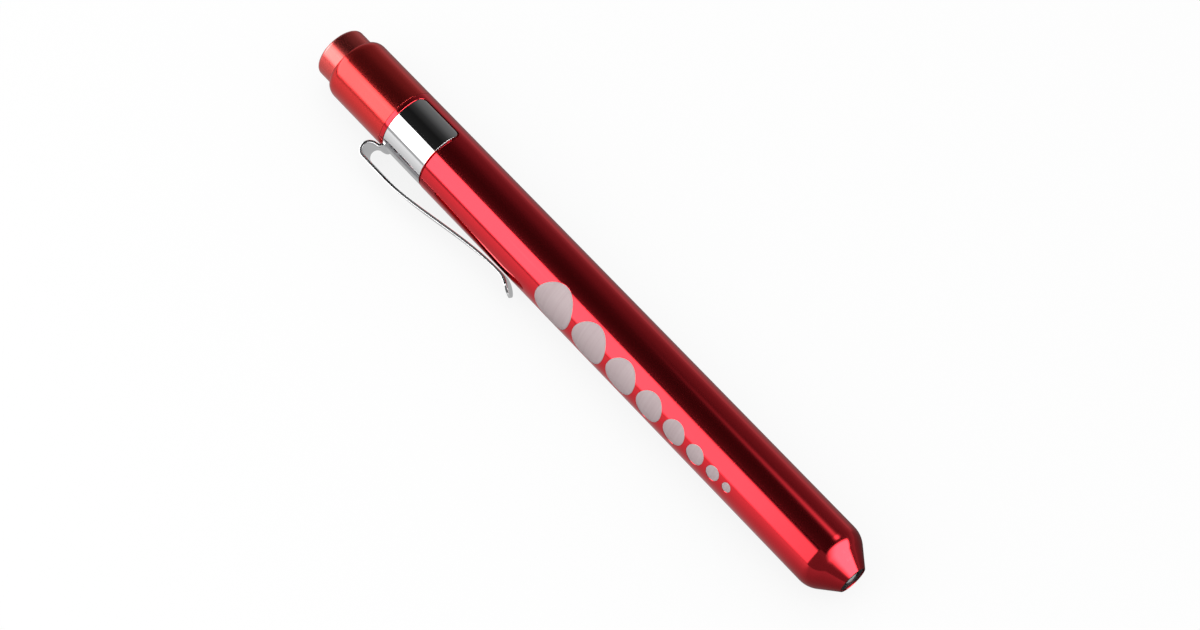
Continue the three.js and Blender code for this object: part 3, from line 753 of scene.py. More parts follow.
@dataclass(frozen=True)
class BandOutline:
    """The clip band's outline, unrolled: four rounded corners, open opposite the arm."""

    rear: float
    front: float
    half_angle: float
    corner: float
    radius: float
    corner_steps: int = 10

    def grown(self, by: float) -> "BandOutline":
        """Gives the outline moved outwards by a length."""
        return replace(self, rear=self.rear - by, front=self.front + by, corner=self.corner + by,
                       half_angle=self.half_angle + by / self.radius)

    def straight_end(self) -> float:
        """Gives the angle where the rounded corners start."""
        return self.half_angle - self.corner / self.radius

    def edges(self, middle: np.ndarray) -> tuple[np.ndarray, np.ndarray]:
        """Lays out the rear and the front edge.

        Args:
            middle: the angles of the columns between the rounded corners.

        Returns:
            Both edges from one end of the band to the other, as lengths along the axis and angles.
        """
        turn = np.linspace(0, math.pi / 2, self.corner_steps + 1)[:-1]
        inward = self.corner * (1 - np.cos(turn)) / self.radius
        drop = self.corner * (1 - np.sin(turn))
        ends = self.half_angle - inward
        angles = np.concatenate([-ends, middle, ends[::-1]])
        drops = np.concatenate([drop, np.zeros(len(middle)), drop[::-1]])
        lengths = (self.rear + drops, self.front - drops)
        return tuple(np.stack([along, angles], axis=1) for along in lengths)

    def loop(self, middle: np.ndarray) -> np.ndarray:
        """Gives the whole outline as one closed loop."""
        rear, front = self.edges(middle)
        return np.concatenate([front, rear[::-1]])


@dataclass
class Barrel:
    """The anodised tube with its recess for the clip, its pupil gauge and its conical nose."""

    axis: LightAxis
    wall: float = 1.05
    cone_length: float = 4.7
    cone_bend: float = 5.0
    nose_radius: float = 2.85
    rim_bore: float = 2.65
    rim_depth: float = 1.2
    rim_round: float = 0.08
    bore_bend: float = 1.0
    bore_mouth: float = 0.12
    end_steps: int = 8
    end_chamfer: float = 0.04
    edge: float = 0.04
    recess: BandOutline = BandOutline(0.92, 11.72, math.radians(143.6), 1.4, 6.5)
    recess_depth: float = 0.65
    largest_mark: int = 9
    smallest_mark: int = 2
    mark_gap: float = 1.0
    mark_start: float = 43.2
    mark_angle: float = math.radians(45.6)
    mark_depth: float = 0.15
    mark_sink: float = 0.02
    mark_clearance: float = 0.015
    disc_bevel: float = 0.04
    disc_drop: float = 0.03
    disc_columns: int = 96
    disc_rings: int = 9
    pocket_rings: int = 13
    pocket_grading: float = 1.4
    block_half: float = math.radians(45)
    block_columns: int = 48
    block_rows: int = 16
    column_step: float = math.radians(1.9)
    radius: float = field(init=False)
    length: float = field(init=False)

    def __post_init__(self) -> None:
        """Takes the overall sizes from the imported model."""
        self.radius = self.axis.radius("barrel")
        self.length = self.axis.span("barrel")[1]

    def make(self, dresser: Dresser) -> None:
        """Builds and dresses the tube and its gauge."""
        dresser.dress(self._tube(), RED_ANODISED, Body.BARREL, "barrel")
        dresser.dress(self._gauge(), GAUGE_ETCH, Body.BARREL)

    def _marks(self) -> list[tuple[float, float]]:
        """Gives each gauge disc's middle along the axis and its radius.

        Returns:
            The discs from the largest to the smallest.
        """
        marks = []
        start = self.mark_start
        for diameter in range(self.largest_mark, self.smallest_mark - 1, -1):
            marks.append((start + diameter / 2, diameter / 2))
            start += diameter + self.mark_gap
        return marks

    def _disc(self, middle: float, radius: float, turn: np.ndarray) -> np.ndarray:
        """Lays a flat circle on the tube.

        Args:
            middle: its middle along the axis.
            radius: its radius.
            turn: the angles round its middle.

        Returns:
            Points as lengths along the axis and angles round it.
        """
        angle = self.mark_angle + np.arcsin(radius * np.sin(turn) / self.radius)
        return np.stack([middle + radius * np.cos(turn), angle], axis=-1)

    def _on(self, spots: np.ndarray, radius: float) -> np.ndarray:
        """Places lengths and angles at a radius."""
        return self.axis.place(spots[..., 0], radius, spots[..., 1])

    def _middle_columns(self) -> np.ndarray:
        """Gives the columns between the recess's rounded corners, with the gauge's own among them.

        Returns:
            The columns' angles.
        """
        end = self.recess.straight_end()
        low, high = self.mark_angle - self.block_half, self.mark_angle + self.block_half
        below = np.linspace(-end, low, math.ceil((low + end) / self.column_step))
        block = np.linspace(low, high, self.block_columns + 1)
        above = np.linspace(high, end, math.ceil((end - high) / self.column_step))
        return np.concatenate([below[:-1], block, above[1:]])

    def _tube(self) -> Piece:
        """Builds the tube as one closed mesh.

        Returns:
            The tube.
        """
        draft = MeshDraft()
        middle = self._middle_columns()
        rear, front = self.recess.grown(self.edge).edges(middle)
        tongue_span = FULL_TURN - 2 * front[-1, 1]
        tongue_shares = np.linspace(0, 1, math.ceil(tongue_span / self.column_step))[1:-1]
        tongue = front[-1, 1] + tongue_span * tongue_shares
        columns = np.concatenate([front[:, 1], tongue])
        marks = self._marks()
        gauge_start = marks[0][0] - marks[0][1] - self.mark_gap / 2
        tongue_rear = np.concatenate([rear[:, 0], np.full(len(tongue), rear[0, 0])])
        tongue_front = np.concatenate([front[:, 0], np.full(len(tongue), front[0, 0])])
        rim, behind, ahead, before_gauge = (
            self.axis.place(along, self.radius, columns)
            for along in (self._rear_rim(), tongue_rear, tongue_front, gauge_start))
        draft.grid(np.stack([rim, behind]), joined=True)
        draft.grid(np.stack([ahead, before_gauge]), joined=True)
        between = np.append(np.arange(len(front) - 1, len(columns)), 0)
        draft.grid(np.stack([behind[between], ahead[between]]))
        self._recess(draft, middle)
        first = int(np.argmin(np.abs(columns - (self.mark_angle - self.block_half))))
        block = columns[first:first + self.block_columns + 1]
        past, before = columns[first + self.block_columns:], columns[:first + 1] + FULL_TURN
        others = np.concatenate([past, before])
        for place, radius in marks:
            reach = radius + self.mark_gap / 2
            stations = np.linspace(place - reach, place + reach, self.block_rows + 1)
            draft.grid(self.axis.place(stations[:, None], self.radius, others[None, :]))
            self._mark_pocket(draft, place, radius, block, stations)
        gauge_end = marks[-1][0] + marks[-1][1] + self.mark_gap / 2
        draft.revolve(self.axis, self._ends(gauge_end), columns)
        return draft.build("anodised_barrel")

    def _rear_rim(self) -> float:
        """Gives the length along the axis where the rear end meets the recess's surroundings."""
        return (self.end_chamfer + self.recess.rear) / 2

    def _wall(self, draft: MeshDraft, rim: np.ndarray, lip: np.ndarray, floor: float) -> None:
        """Adds the bevel and the wall of a pocket in the tube's surface.

        Args:
            draft: the tube's draft.
            rim: the bevel's edge on the surface, as lengths along the axis and angles.
            lip: its edge on the wall.
            floor: the radius that the wall goes down to.
        """
        rings = ((rim, self.radius), (lip, self.radius - self.edge), (lip, floor))
        draft.grid(np.stack([self._on(spots, height) for spots, height in rings]), joined=True)

    def _recess(self, draft: MeshDraft, middle: np.ndarray) -> None:
        """Adds the recess for the clip's band, with a small bevel round it.

        Args:
            draft: the tube's draft.
            middle: the columns between the recess's rounded corners.
        """
        floor = self.radius - self.recess_depth
        outer = self.recess.grown(self.edge).loop(middle)
        inner = self.recess.loop(middle)
        self._wall(draft, outer, inner, floor)
        draft.grid(np.stack([self._on(edge, floor) for edge in self.recess.edges(middle)]))

    def _mark_pocket(self, draft: MeshDraft, place: float, radius: float, block: np.ndarray,
                     stations: np.ndarray) -> None:
        """Adds the surface round one gauge disc and the shallow pocket it lies in.

        Args:
            draft: the tube's draft.
            place: the disc's middle along the axis.
            radius: the disc's radius.
            block: the columns that the disc's surroundings cover.
            stations: the rows that they cover.
        """
        low = np.full(len(stations), block[0])
        high = np.full(len(stations), block[-1])
        border = np.concatenate([
            np.stack([stations, low], axis=1)[:-1],
            np.stack([np.full(len(block), stations[-1]), block], axis=1)[:-1],
            np.stack([stations, high], axis=1)[:0:-1],
            np.stack([np.full(len(block), stations[0]), block], axis=1)[:0:-1],
        ])
        across = (border[:, 1] - self.mark_angle) / self.block_half
        forward = (border[:, 0] - place) / (radius + self.mark_gap / 2)
        turn = np.arctan2(across, forward)
        rim = self._disc(place, radius, turn)
        share = np.linspace(0, 1, self.pocket_rings)[:, None, None] ** self.pocket_grading
        draft.grid(self._on(rim + share * (border - rim), self.radius), joined=True)
        lip = self._disc(place, radius - self.edge, turn)
        floor = self.radius - self.mark_depth
        self._wall(draft, rim, lip, floor)
        rings = [self._disc(place, (radius - self.edge) * part, turn) for part in (1, 0.5, 0)]
        draft.grid(self._on(np.stack(rings), floor), joined=True)

    def _ends(self, gauge_end: float) -> np.ndarray:
        """Outlines the nose, the bore and the rear end.

        Args:
            gauge_end: the length along the axis where the gauge ends.

        Returns:
            The outline from the gauge round the nose and back through the bore to the rear rim.
        """
        bore = self.radius - self.wall
        bend = self.length - self.cone_length
        slope = math.atan2(self.radius - self.nose_radius, self.cone_length)
        inside_nose = self.length - self.rim_depth
        inner_reach = (bore - self.rim_bore) / math.tan(slope)
        corners = [
            Corner(gauge_end, self.radius),
            Corner(bend, self.radius, self.cone_bend),
            Corner(self.length, self.nose_radius, self.rim_round),
            Corner(self.length, self.rim_bore, self.rim_round),
            Corner(inside_nose, self.rim_bore, EASED),
            Corner(inside_nose - inner_reach, bore, self.bore_bend),
            Corner(0.0, bore, self.bore_mouth),
            Corner(0.0, self.radius, self.end_chamfer),
            Corner(self._rear_rim(), self.radius),
        ]
        return turned_outline(corners, closed=False, steps=self.end_steps)

    def _gauge(self) -> Piece:
        """Builds the eight etched discs of the pupil gauge, a little below the tube's surface.

        Returns:
            The discs as one piece.
        """
        draft = MeshDraft()
        turn = round_columns(self.disc_columns)
        top = self.radius - self.mark_sink
        bottom = self.radius - self.mark_depth + self.mark_clearance
        for place, radius in self._marks():
            reach = radius - self.edge - self.mark_clearance
            face = reach - self.disc_bevel
            parts = [(face * part, top) for part in np.linspace(0, 1, self.disc_rings)]
            parts += [(reach, top - self.disc_drop)]
            parts += [(reach * part, bottom) for part in (1, 0.5, 0)]
            rings = [self._on(self._disc(place, ring, turn), height) for ring, height in parts]
            draft.grid(np.stack(rings), joined=True)
        return draft.build("pupil_gauge_discs")


@dataclass
class PocketClip:
    """The chromed clip: an open band, a hairpin over the seam and a sprung arm."""

    axis: LightAxis
    sheet: float = 0.5
    band: BandOutline = BandOutline(1.0, 11.3, math.radians(141), 1.1, 6.45)
    band_columns: int = 150
    edge: float = 0.05
    edge_points: int = 5
    side_supports: tuple[float, ...] = (0.9, 0.0, -0.9)
    face_points: int = 9
    arm_half: float = 2.5
    tip_half: float = 2.1
    tip_least: float = 1e-3
    least_chord: float = 1e-6
    overhang: float = 1.85
    arm_outer: float = 10.45
    root_run: float = 0.6
    root_handle: float = 0.4
    root_steps: int = 14
    rim_clearance: float = 0.3
    barrel_radius: float = 6.5
    hairpin_steps: int = 32
    straight: float = 6.0
    sink_steps: int = 40
    touch_at: float = 34.7
    touch_gap: float = 0.15
    tip_run: float = 4.4
    tip_rise: float = 1.9
    tip_steps: int = 28
    ease_out: float = 0.3
    ease_in: float = 0.35
    last_slope: float = 1.3

    def make(self, dresser: Dresser) -> None:
        """Builds and dresses the clip.

        Args:
            dresser: gives each piece its finish and body.
        """
        draft = MeshDraft()
        self._band(draft)
        self._arm(draft)
        dresser.dress(draft.build("chromed_pocket_clip"), CLIP_CHROME, Body.BARREL, "pocket_clip")

    def _band(self, draft: MeshDraft) -> None:
        """Adds the band that snaps round the barrel, with rounded edges.

        Args:
            draft: the clip's draft.
        """
        end = self.band.straight_end()
        middle = np.linspace(-end, end, self.band_columns)
        inner = self.band.radius - self.sheet
        rounds = np.linspace(0, math.pi / 2, self.edge_points)
        rings = [(self.edge * (1 - math.sin(turn)),
                  self.band.radius - self.edge * (1 - math.cos(turn))) for turn in rounds]
        rings += [(inset, inner + self.band.radius - radius) for inset, radius in reversed(rings)]
        loops = []
        for inset, radius in rings:
            spots = self.band.grown(-inset).loop(middle)
            loops.append(self.axis.place(spots[:, 0], radius, spots[:, 1]))
        draft.grid(np.stack(loops), joined=True)
        for radius in (self.band.radius, inner):
            faces = [self.axis.place(edge[:, 0], radius, edge[:, 1])
                     for edge in self.band.grown(-self.edge).edges(middle)]
            draft.grid(np.stack(faces))

    def _centre_line(self) -> np.ndarray:
        """Lays out the middle of the sheet from the band round the hairpin to the tip.

        Returns:
            Points as lengths along the axis and from it.
        """
        half = self.sheet / 2
        leg_line = self.barrel_radius + self.rim_clearance + half
        arm_line = self.arm_outer - half
        touch_line = self.barrel_radius + self.touch_gap + half
        hairpin = (arm_line - leg_line) / 2
        turn_at = half + hairpin - self.overhang
        root = np.array((self.band.rear + self.root_run, self.band.radius - half))
        root_end = np.array((self.band.rear - self.rim_clearance, leg_line))
        turns = np.linspace(0, math.pi, self.hairpin_steps + 1)
        sink_run = self.touch_at - self.straight
        arm = np.array((self.straight, arm_line))
        touch = np.array((self.touch_at, touch_line))
        tip = touch + (self.tip_run, self.tip_rise)
        tip_reach = self.tip_run * self.ease_in
        root_lead = np.array((self.root_handle, 0.0))
        parts = [
            self._curve((root, root - root_lead, root_end + root_lead, root_end), self.root_steps),
            np.array([root_end, (turn_at, leg_line)]),
            np.stack([turn_at - hairpin * np.sin(turns),
                      leg_line + hairpin * (1 - np.cos(turns))], axis=1),
            np.array([(turn_at, arm_line), arm]),
            self._curve((arm, arm + (sink_run * self.ease_out, 0.0),
                         touch - (sink_run * self.ease_in, 0.0), touch), self.sink_steps),
            self._curve((touch, touch + (tip_reach, 0.0),
                         tip - (tip_reach, tip_reach * self.last_slope / 2), tip), self.tip_steps),
        ]
        line = np.concatenate([parts[0]] + [part[1:] for part in parts[1:]])
        apart = np.linalg.norm(np.diff(line, axis=0), axis=1) > self.least_chord
        return line[np.append(True, apart)]

    @staticmethod
    def _curve(ends: Sequence[np.ndarray], steps: int) -> np.ndarray:
        """Lays out a curve with two ends and two handles.

        Args:
            ends: the first end, its handle, the last end's handle and the last end.
            steps: the chords of the curve.

        Returns:
            The curve's points.
        """
        start, leave, reach, end = ends
        share = np.linspace(0, 1, steps + 1)[:, None]
        rest = 1 - share
        return (rest**3 * start + 3 * rest**2 * share * leave
                + 3 * rest * share**2 * reach + share**3 * end)

    def _widths(self, line: np.ndarray) -> np.ndarray:
        """Gives half the sheet's width along its middle.

        Args:
            line: the sheet's middle, as lengths along the axis and from it.

        Returns:
            Half the width at each point: even, then narrowing to a round tip.
        """
        round_from = line[-1, 0] - self.tip_half
        taper = np.clip((line[:, 0] - self.straight) / (round_from - self.straight), 0, 1)
        width = self.arm_half + (self.tip_half - self.arm_half) * taper
        past = np.clip(line[:, 0] - round_from, 0, self.tip_half)
        rounded = np.where(past > 0, np.sqrt(np.maximum(self.tip_half**2 - past**2, 0)), width)
        return np.maximum(rounded, self.tip_least)

    def _arm(self, draft: MeshDraft) -> None:
        """Adds the sheet that leaves the band, turns over the seam and runs to the tip.

        Args:
            draft: the clip's draft.
        """
        line = self._centre_line()
        along = np.gradient(line, axis=0)
        along /= np.linalg.norm(along, axis=1)[:, None]
        normal = np.stack([-along[:, 1], along[:, 0]], axis=1)
        run = np.cumsum(np.append(0, np.linalg.norm(np.diff(line, axis=0), axis=1)))
        curl = np.clip(1 - run / (self.root_run + self.rim_clearance + self.overhang), 0, 1)
        sections = []
        for spot, way, width, bow in zip(line, normal, self._widths(line), curl):
            section = self._section(width)
            sag = self.band.radius - np.sqrt(self.band.radius**2 - section[:, 0]**2)
            lift = section[:, 1]
            out = spot[1] + way[1] * lift - sag * bow
            sections.append(self.axis.point(spot[0] + way[0] * lift, out, section[:, 0]))
        draft.grid(np.stack(sections), joined=True)
        for end in (sections[0], sections[-1]):
            draft.grid(np.stack([end, np.broadcast_to(end.mean(axis=0), end.shape)]), joined=True)

    def _section(self, width: float) -> np.ndarray:
        """Gives the sheet's rounded section.

        Args:
            width: half its width.

        Returns:
            Points across and through the sheet.
        """
        half = self.sheet / 2
        edge = min(self.edge, width / 2)
        turns = np.linspace(0, math.pi / 2, self.edge_points)
        corner = np.stack([width - edge + edge * np.sin(turns),
                           half - edge + edge * np.cos(turns)], axis=1)
        across = np.linspace(edge - width, width - edge, self.face_points + 2)[1:-1]
        face = np.stack([across, np.full(self.face_points, half)], axis=1)
        heights = np.array(self.side_supports) * (half - edge)
        side = np.stack([np.full(len(heights), width), heights], axis=1)
        upper = np.concatenate([corner[::-1] * (-1, 1), face, corner, side])
        return np.concatenate([upper, -upper])


@dataclass
class Tail:
    """The screwed tail: sleeve, click button and the threaded neck that goes into the barrel."""

    axis: LightAxis
    sleeve_wall: float = 0.6
    sleeve_lip: float = 1.35
    lip_bore: float = 5.4
    lip_round: float = 0.04
    shoulder_run: float = 1.7
    shoulder_drop: float = 0.95
    shoulder_steps: int = 14
    seam_gap: float = 0.05
    front_round: float = 0.04
    inner_round: float = 0.15
    button_radius: float = 5.3
    button_wall: float = 1.0
    button_edge: float = 0.6
    button_flange: float = 1.0
    button_boss: float = 1.6
    boss_round: float = 0.4
    neck_bore: float = 4.5
    neck_rear_radius: float = 5.7
    neck_lead: float = 0.2
    neck_shoulder: float = 0.5
    thread_outer: float = 5.35
    thread_depth: float = 0.42
    thread_pitch: float = 0.8
    thread_from: float = 0.5
    thread_to: float = 6.6
    thread_fade: float = 0.5
    thread_slope: float = 1.5
    thread_flat: float = 0.25
    thread_relief: float = 0.7
    thread_stop: float = 0.3
    thread_rows: int = 150
    round_steps: int = 6
    columns: int = 160

    def make(self, dresser: Dresser) -> None:
        """Builds and dresses the tail's pieces.

        Args:
            dresser: gives each piece its finish and body.
        """
        dresser.dress(self._sleeve(), TAIL_RED, Body.TAIL, "tail_sleeve")
        dresser.dress(self._button(), BUTTON_RED, Body.BUTTON, "push_button")
        dresser.dress(self._neck(), BARE_ALUMINIUM, Body.TAIL, "threaded_neck")

    def _sleeve(self) -> Piece:
        """Builds the sleeve with its rolled-in rear shoulder.

        Returns:
            The sleeve.
        """
        rear, front = self.axis.span("tail_sleeve")
        outer = self.axis.radius("tail_sleeve")
        bore = outer - self.sleeve_wall
        turns = np.linspace(0, math.pi / 2, self.shoulder_steps + 1)
        shoulder = [Corner(rear + self.shoulder_run * (1 - math.sin(turn)),
                           outer - self.shoulder_drop * (1 - math.cos(turn))) for turn in turns]
        corners = [
            Corner(front, bore, EASED),
            Corner(-self.seam_gap, bore, BROKEN),
            Corner(-self.seam_gap, outer, self.front_round),
            *shoulder,
            Corner(rear, self.lip_bore, self.lip_round),
            Corner(rear + self.sleeve_lip, self.lip_bore, EASED),
            Corner(rear + self.sleeve_lip, bore, self.inner_round),
        ]
        outline = turned_outline(corners, steps=self.round_steps)
        return turned_piece("anodised_tail_sleeve", self.axis, outline, self.columns)

    def _button(self) -> Piece:
        """Builds the button: a cup with a rounded end and a flange inside the sleeve.

        Returns:
            The button.
        """
        rear, front = self.axis.span("push_button")
        flange = self.axis.radius("push_button")
        inside = self.button_radius - self.button_wall
        corners = [
            Corner(rear, 0.0),
            Corner(rear, self.button_radius, self.button_edge),
            Corner(front - self.button_flange, self.button_radius, EASED),
            Corner(front - self.button_flange, flange, EASED),
            Corner(front, flange, EASED),
            Corner(front, inside, EASED),
            Corner(rear + self.button_boss, inside, self.boss_round),
            Corner(rear + self.button_boss, 0.0),
        ]
        outline = turned_outline(corners, steps=self.round_steps)
        return turned_piece("satin_push_button", self.axis, outline, self.columns)

    def _neck(self) -> Piece:
        """Builds the neck with its cut thread.

        Returns:
            The neck.
        """
        draft = MeshDraft()
        rear, front = self.axis.span("threaded_neck")
        angles = round_columns(self.columns)
        start, stop = self.thread_from - self.thread_relief, front - self.thread_stop
        rows = np.linspace(start, stop, self.thread_rows)
        phase = rows[:, None] / self.thread_pitch + angles[None, :] / FULL_TURN
        wave = np.abs((phase % 1.0) * 2 - 1)
        crest = np.clip(wave * self.thread_slope - self.thread_flat, 0, 1)
        fade_in = np.clip((rows - self.thread_from) / self.thread_fade, 0, 1)
        fade_out = np.clip((self.thread_to - rows) / self.thread_fade, 0, 1)
        root = self.thread_outer - self.thread_depth
        radii = root + self.thread_depth * crest * (fade_in * fade_out)[:, None]
        draft.grid(self.axis.place(rows[:, None], radii, angles[None, :]), joined=True)
        seat_front = rows[0] - self.neck_shoulder
        corners = [
            Corner(rows[-1], root),
            Corner(front, root - self.neck_lead, BROKEN),
            Corner(front, self.neck_bore, EASED),
            Corner(rear, self.neck_bore, EASED),
            Corner(rear, self.neck_rear_radius, self.inner_round),
            Corner(seat_front, self.neck_rear_radius, EASED),
            Corner(seat_front, root, EASED),
            Corner(rows[0], root),
        ]
        draft.revolve(self.axis, turned_outline(corners, closed=False), angles)
        return draft.build("threaded_neck_turned")


@dataclass
class LampEnd:
    """The lamp in the nose: black holder, cast lamp with its cup and phosphor, and its contacts."""

    axis: LightAxis
    ring_radius: float = 2.6
    ring_bore: float = 1.55
    ring_length: float = 0.5
    ring_sunk: float = 0.2
    ring_flare: float = 0.12
    ring_round: float = 0.04
    lamp_radius: float = 1.5
    dome_height: float = 0.55
    dome_steps: int = 16
    flange_radius: float = 1.9
    flange_length: float = 1.0
    flange_round: float = 0.08
    cup_radius: float = 0.85
    cup_back: float = 3.6
    cup_depth: float = 0.9
    cup_floor: float = 0.4
    cup_round: float = 0.15
    cup_wall: float = 0.08
    cup_taper: float = 0.4
    drop_gap: float = 0.02
    drop_foot: float = 0.45
    drop_side: float = 0.3
    drop_brim: float = 0.28
    drop_height: float = 0.36
    columns: int = 96

    def make(self, dresser: Dresser) -> None:
        """Builds and dresses the lamp's pieces.

        Args:
            dresser: gives each piece its finish and body.
        """
        dresser.dress(self._lamp(), LAMP_EPOXY, Body.BARREL, "led_lamp")
        dresser.dress(self._cup(), TINNED_WIRE, Body.BARREL)
        dresser.dress(self._phosphor(), LAMP_PHOSPHOR, Body.BARREL)
        dresser.dress(self._holder_ring(), HOLDER_BLACK, Body.BARREL)
        dresser.keep(HOLDER_BLACK, "lamp_holder")
        dresser.keep(TINNED_WIRE, "led_anode_lead", "led_cathode_lead")
        dresser.keep(BRASS, "contact_disc", "ground_ring")

    def _holder_ring(self) -> Piece:
        """Builds the black ring of the holder that shows round the lamp.

        Returns:
            The ring.
        """
        front = self.axis.span("barrel")[1] - self.ring_sunk
        rear = self.axis.span("lamp_holder")[1] - self.ring_length
        corners = [
            Corner(rear, self.ring_bore, self.ring_round),
            Corner(front - self.ring_flare, self.ring_bore, BROKEN),
            Corner(front, self.ring_bore + self.ring_flare, BROKEN),
            Corner(front, self.ring_radius, BROKEN),
            Corner(rear, self.ring_radius, self.ring_round),
        ]
        return turned_piece("lamp_holder_ring", self.axis, turned_outline(corners), self.columns)

    def _lamp(self) -> Piece:
        """Builds the lamp's cast body: flange, cylinder and dome.

        Returns:
            The lamp's body.
        """
        rear, front = self.axis.span("led_lamp")
        dome_from = front - self.dome_height
        corners = [
            Corner(rear, 0.0),
            Corner(rear, self.flange_radius, EASED),
            Corner(rear + self.flange_length, self.flange_radius, EASED),
            Corner(rear + self.flange_length, self.lamp_radius, self.flange_round),
            Corner(dome_from, self.lamp_radius),
        ]
        turn = np.linspace(0, math.pi / 2, self.dome_steps + 1)[1:]
        dome = np.stack([dome_from + self.dome_height * np.sin(turn),
                         self.lamp_radius * np.cos(turn)], axis=1)
        outline = np.concatenate([turned_outline(corners, closed=False), dome])
        return turned_piece("clear_lamp_body", self.axis, outline, self.columns)

    def _cup(self) -> Piece:
        """Builds the small mirrored cup that holds the chip inside the lamp.

        Returns:
            The cup.
        """
        back = self.axis.span("led_lamp")[1] - self.cup_back
        mouth = back + self.cup_depth
        corners = [
            Corner(back, 0.0),
            Corner(back, self.cup_radius, self.cup_round),
            Corner(mouth, self.cup_radius, CRISP),
            Corner(mouth, self.cup_radius - self.cup_wall, CRISP),
            Corner(back + self.cup_floor, self.cup_radius - self.cup_taper, EASED),
            Corner(back + self.cup_floor, 0.0),
        ]
        outline = turned_outline(corners, closed=False)
        return turned_piece("lamp_reflector_cup", self.axis, outline, self.columns)

    def _phosphor(self) -> Piece:
        """Builds the drop of phosphor that fills the cup.

        Returns:
            The drop.
        """
        floor = self.axis.span("led_lamp")[1] - self.cup_back + self.cup_floor + self.drop_gap
        corners = [
            Corner(floor, 0.0),
            Corner(floor, self.cup_radius - self.drop_foot, CRISP),
            Corner(floor + self.drop_side, self.cup_radius - self.drop_brim, BROKEN),
            Corner(floor + self.drop_height, 0.0),
        ]
        outline = turned_outline(corners, closed=False)
        return turned_piece("lamp_phosphor_drop", self.axis, outline, self.columns)


@dataclass
class Cells:
    """The two dry cells, each a jacket over a nickelled can."""

    axis: LightAxis
    jacket_lap: float = 0.9
    jacket_wall: float = 0.12
    jacket_set: float = 0.1
    jacket_rounds: tuple[float, float, float, float] = (0.35, 0.45, 0.3, 0.2)
    can_gap: float = 0.05
    can_round: float = 0.2
    end_radius: float = 4.2
    end_height: float = 0.25
    cap_radius: float = 1.9
    cap_height: float = 1.0
    cap_foot: float = 0.15
    cap_round: float = 0.3
    columns: int = 120

    def make(self, dresser: Dresser) -> None:
        """Builds and dresses both cells.

        Args:
            dresser: gives each piece its finish and body.
        """
        for node in ("front_cell", "rear_cell"):
            for name, corners, finish, stands_for in (
                    (f"{node}_jacket", self._jacket(node), CELL_JACKET, (node,)),
                    (f"{node}_can", self._can(node), CELL_STEEL, ())):
                piece = turned_piece(name, self.axis, turned_outline(corners), self.columns)
                dresser.dress(piece, finish, Body.BARREL, *stands_for)

    def _jacket(self, node: str) -> list[Corner]:
        """Outlines a cell's jacket, lapped over both ends.

        Args:
            node: the cell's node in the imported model.

        Returns:
            The jacket's corners.
        """
        rear, front = self.axis.span(node)
        outer = self.axis.radius(node)
        tail = rear + self.jacket_set
        nose = front - self.cap_height
        lapped = outer - self.jacket_lap
        inner = outer - self.jacket_wall
        at_tail, at_nose, in_nose, in_tail = self.jacket_rounds
        return [
            Corner(tail, lapped, CRISP),
            Corner(tail, outer, at_tail),
            Corner(nose, outer, at_nose),
            Corner(nose, lapped, CRISP),
            Corner(nose - self.jacket_wall, lapped, CRISP),
            Corner(nose - self.jacket_wall, inner, in_nose),
            Corner(tail + self.jacket_wall, inner, in_tail),
            Corner(tail + self.jacket_wall, lapped, CRISP),
        ]

    def _can(self, node: str) -> list[Corner]:
        """Outlines a cell's nickelled can with its cap.

        Args:
            node: the cell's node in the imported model.

        Returns:
            The can's corners.
        """
        rear, front = self.axis.span(node)
        outer = self.axis.radius(node) - self.jacket_wall - self.can_gap
        nose = front - self.cap_height - self.jacket_wall - self.can_gap
        return [
            Corner(rear, 0.0),
            Corner(rear, self.end_radius, EASED),
            Corner(rear + self.end_height, self.end_radius, BROKEN),
            Corner(rear + self.end_height, outer, self.can_round),
            Corner(nose, outer, self.can_round),
            Corner(nose, self.cap_radius, self.cap_foot),
            Corner(front, self.cap_radius, self.cap_round),
            Corner(front, 0.0),
        ]


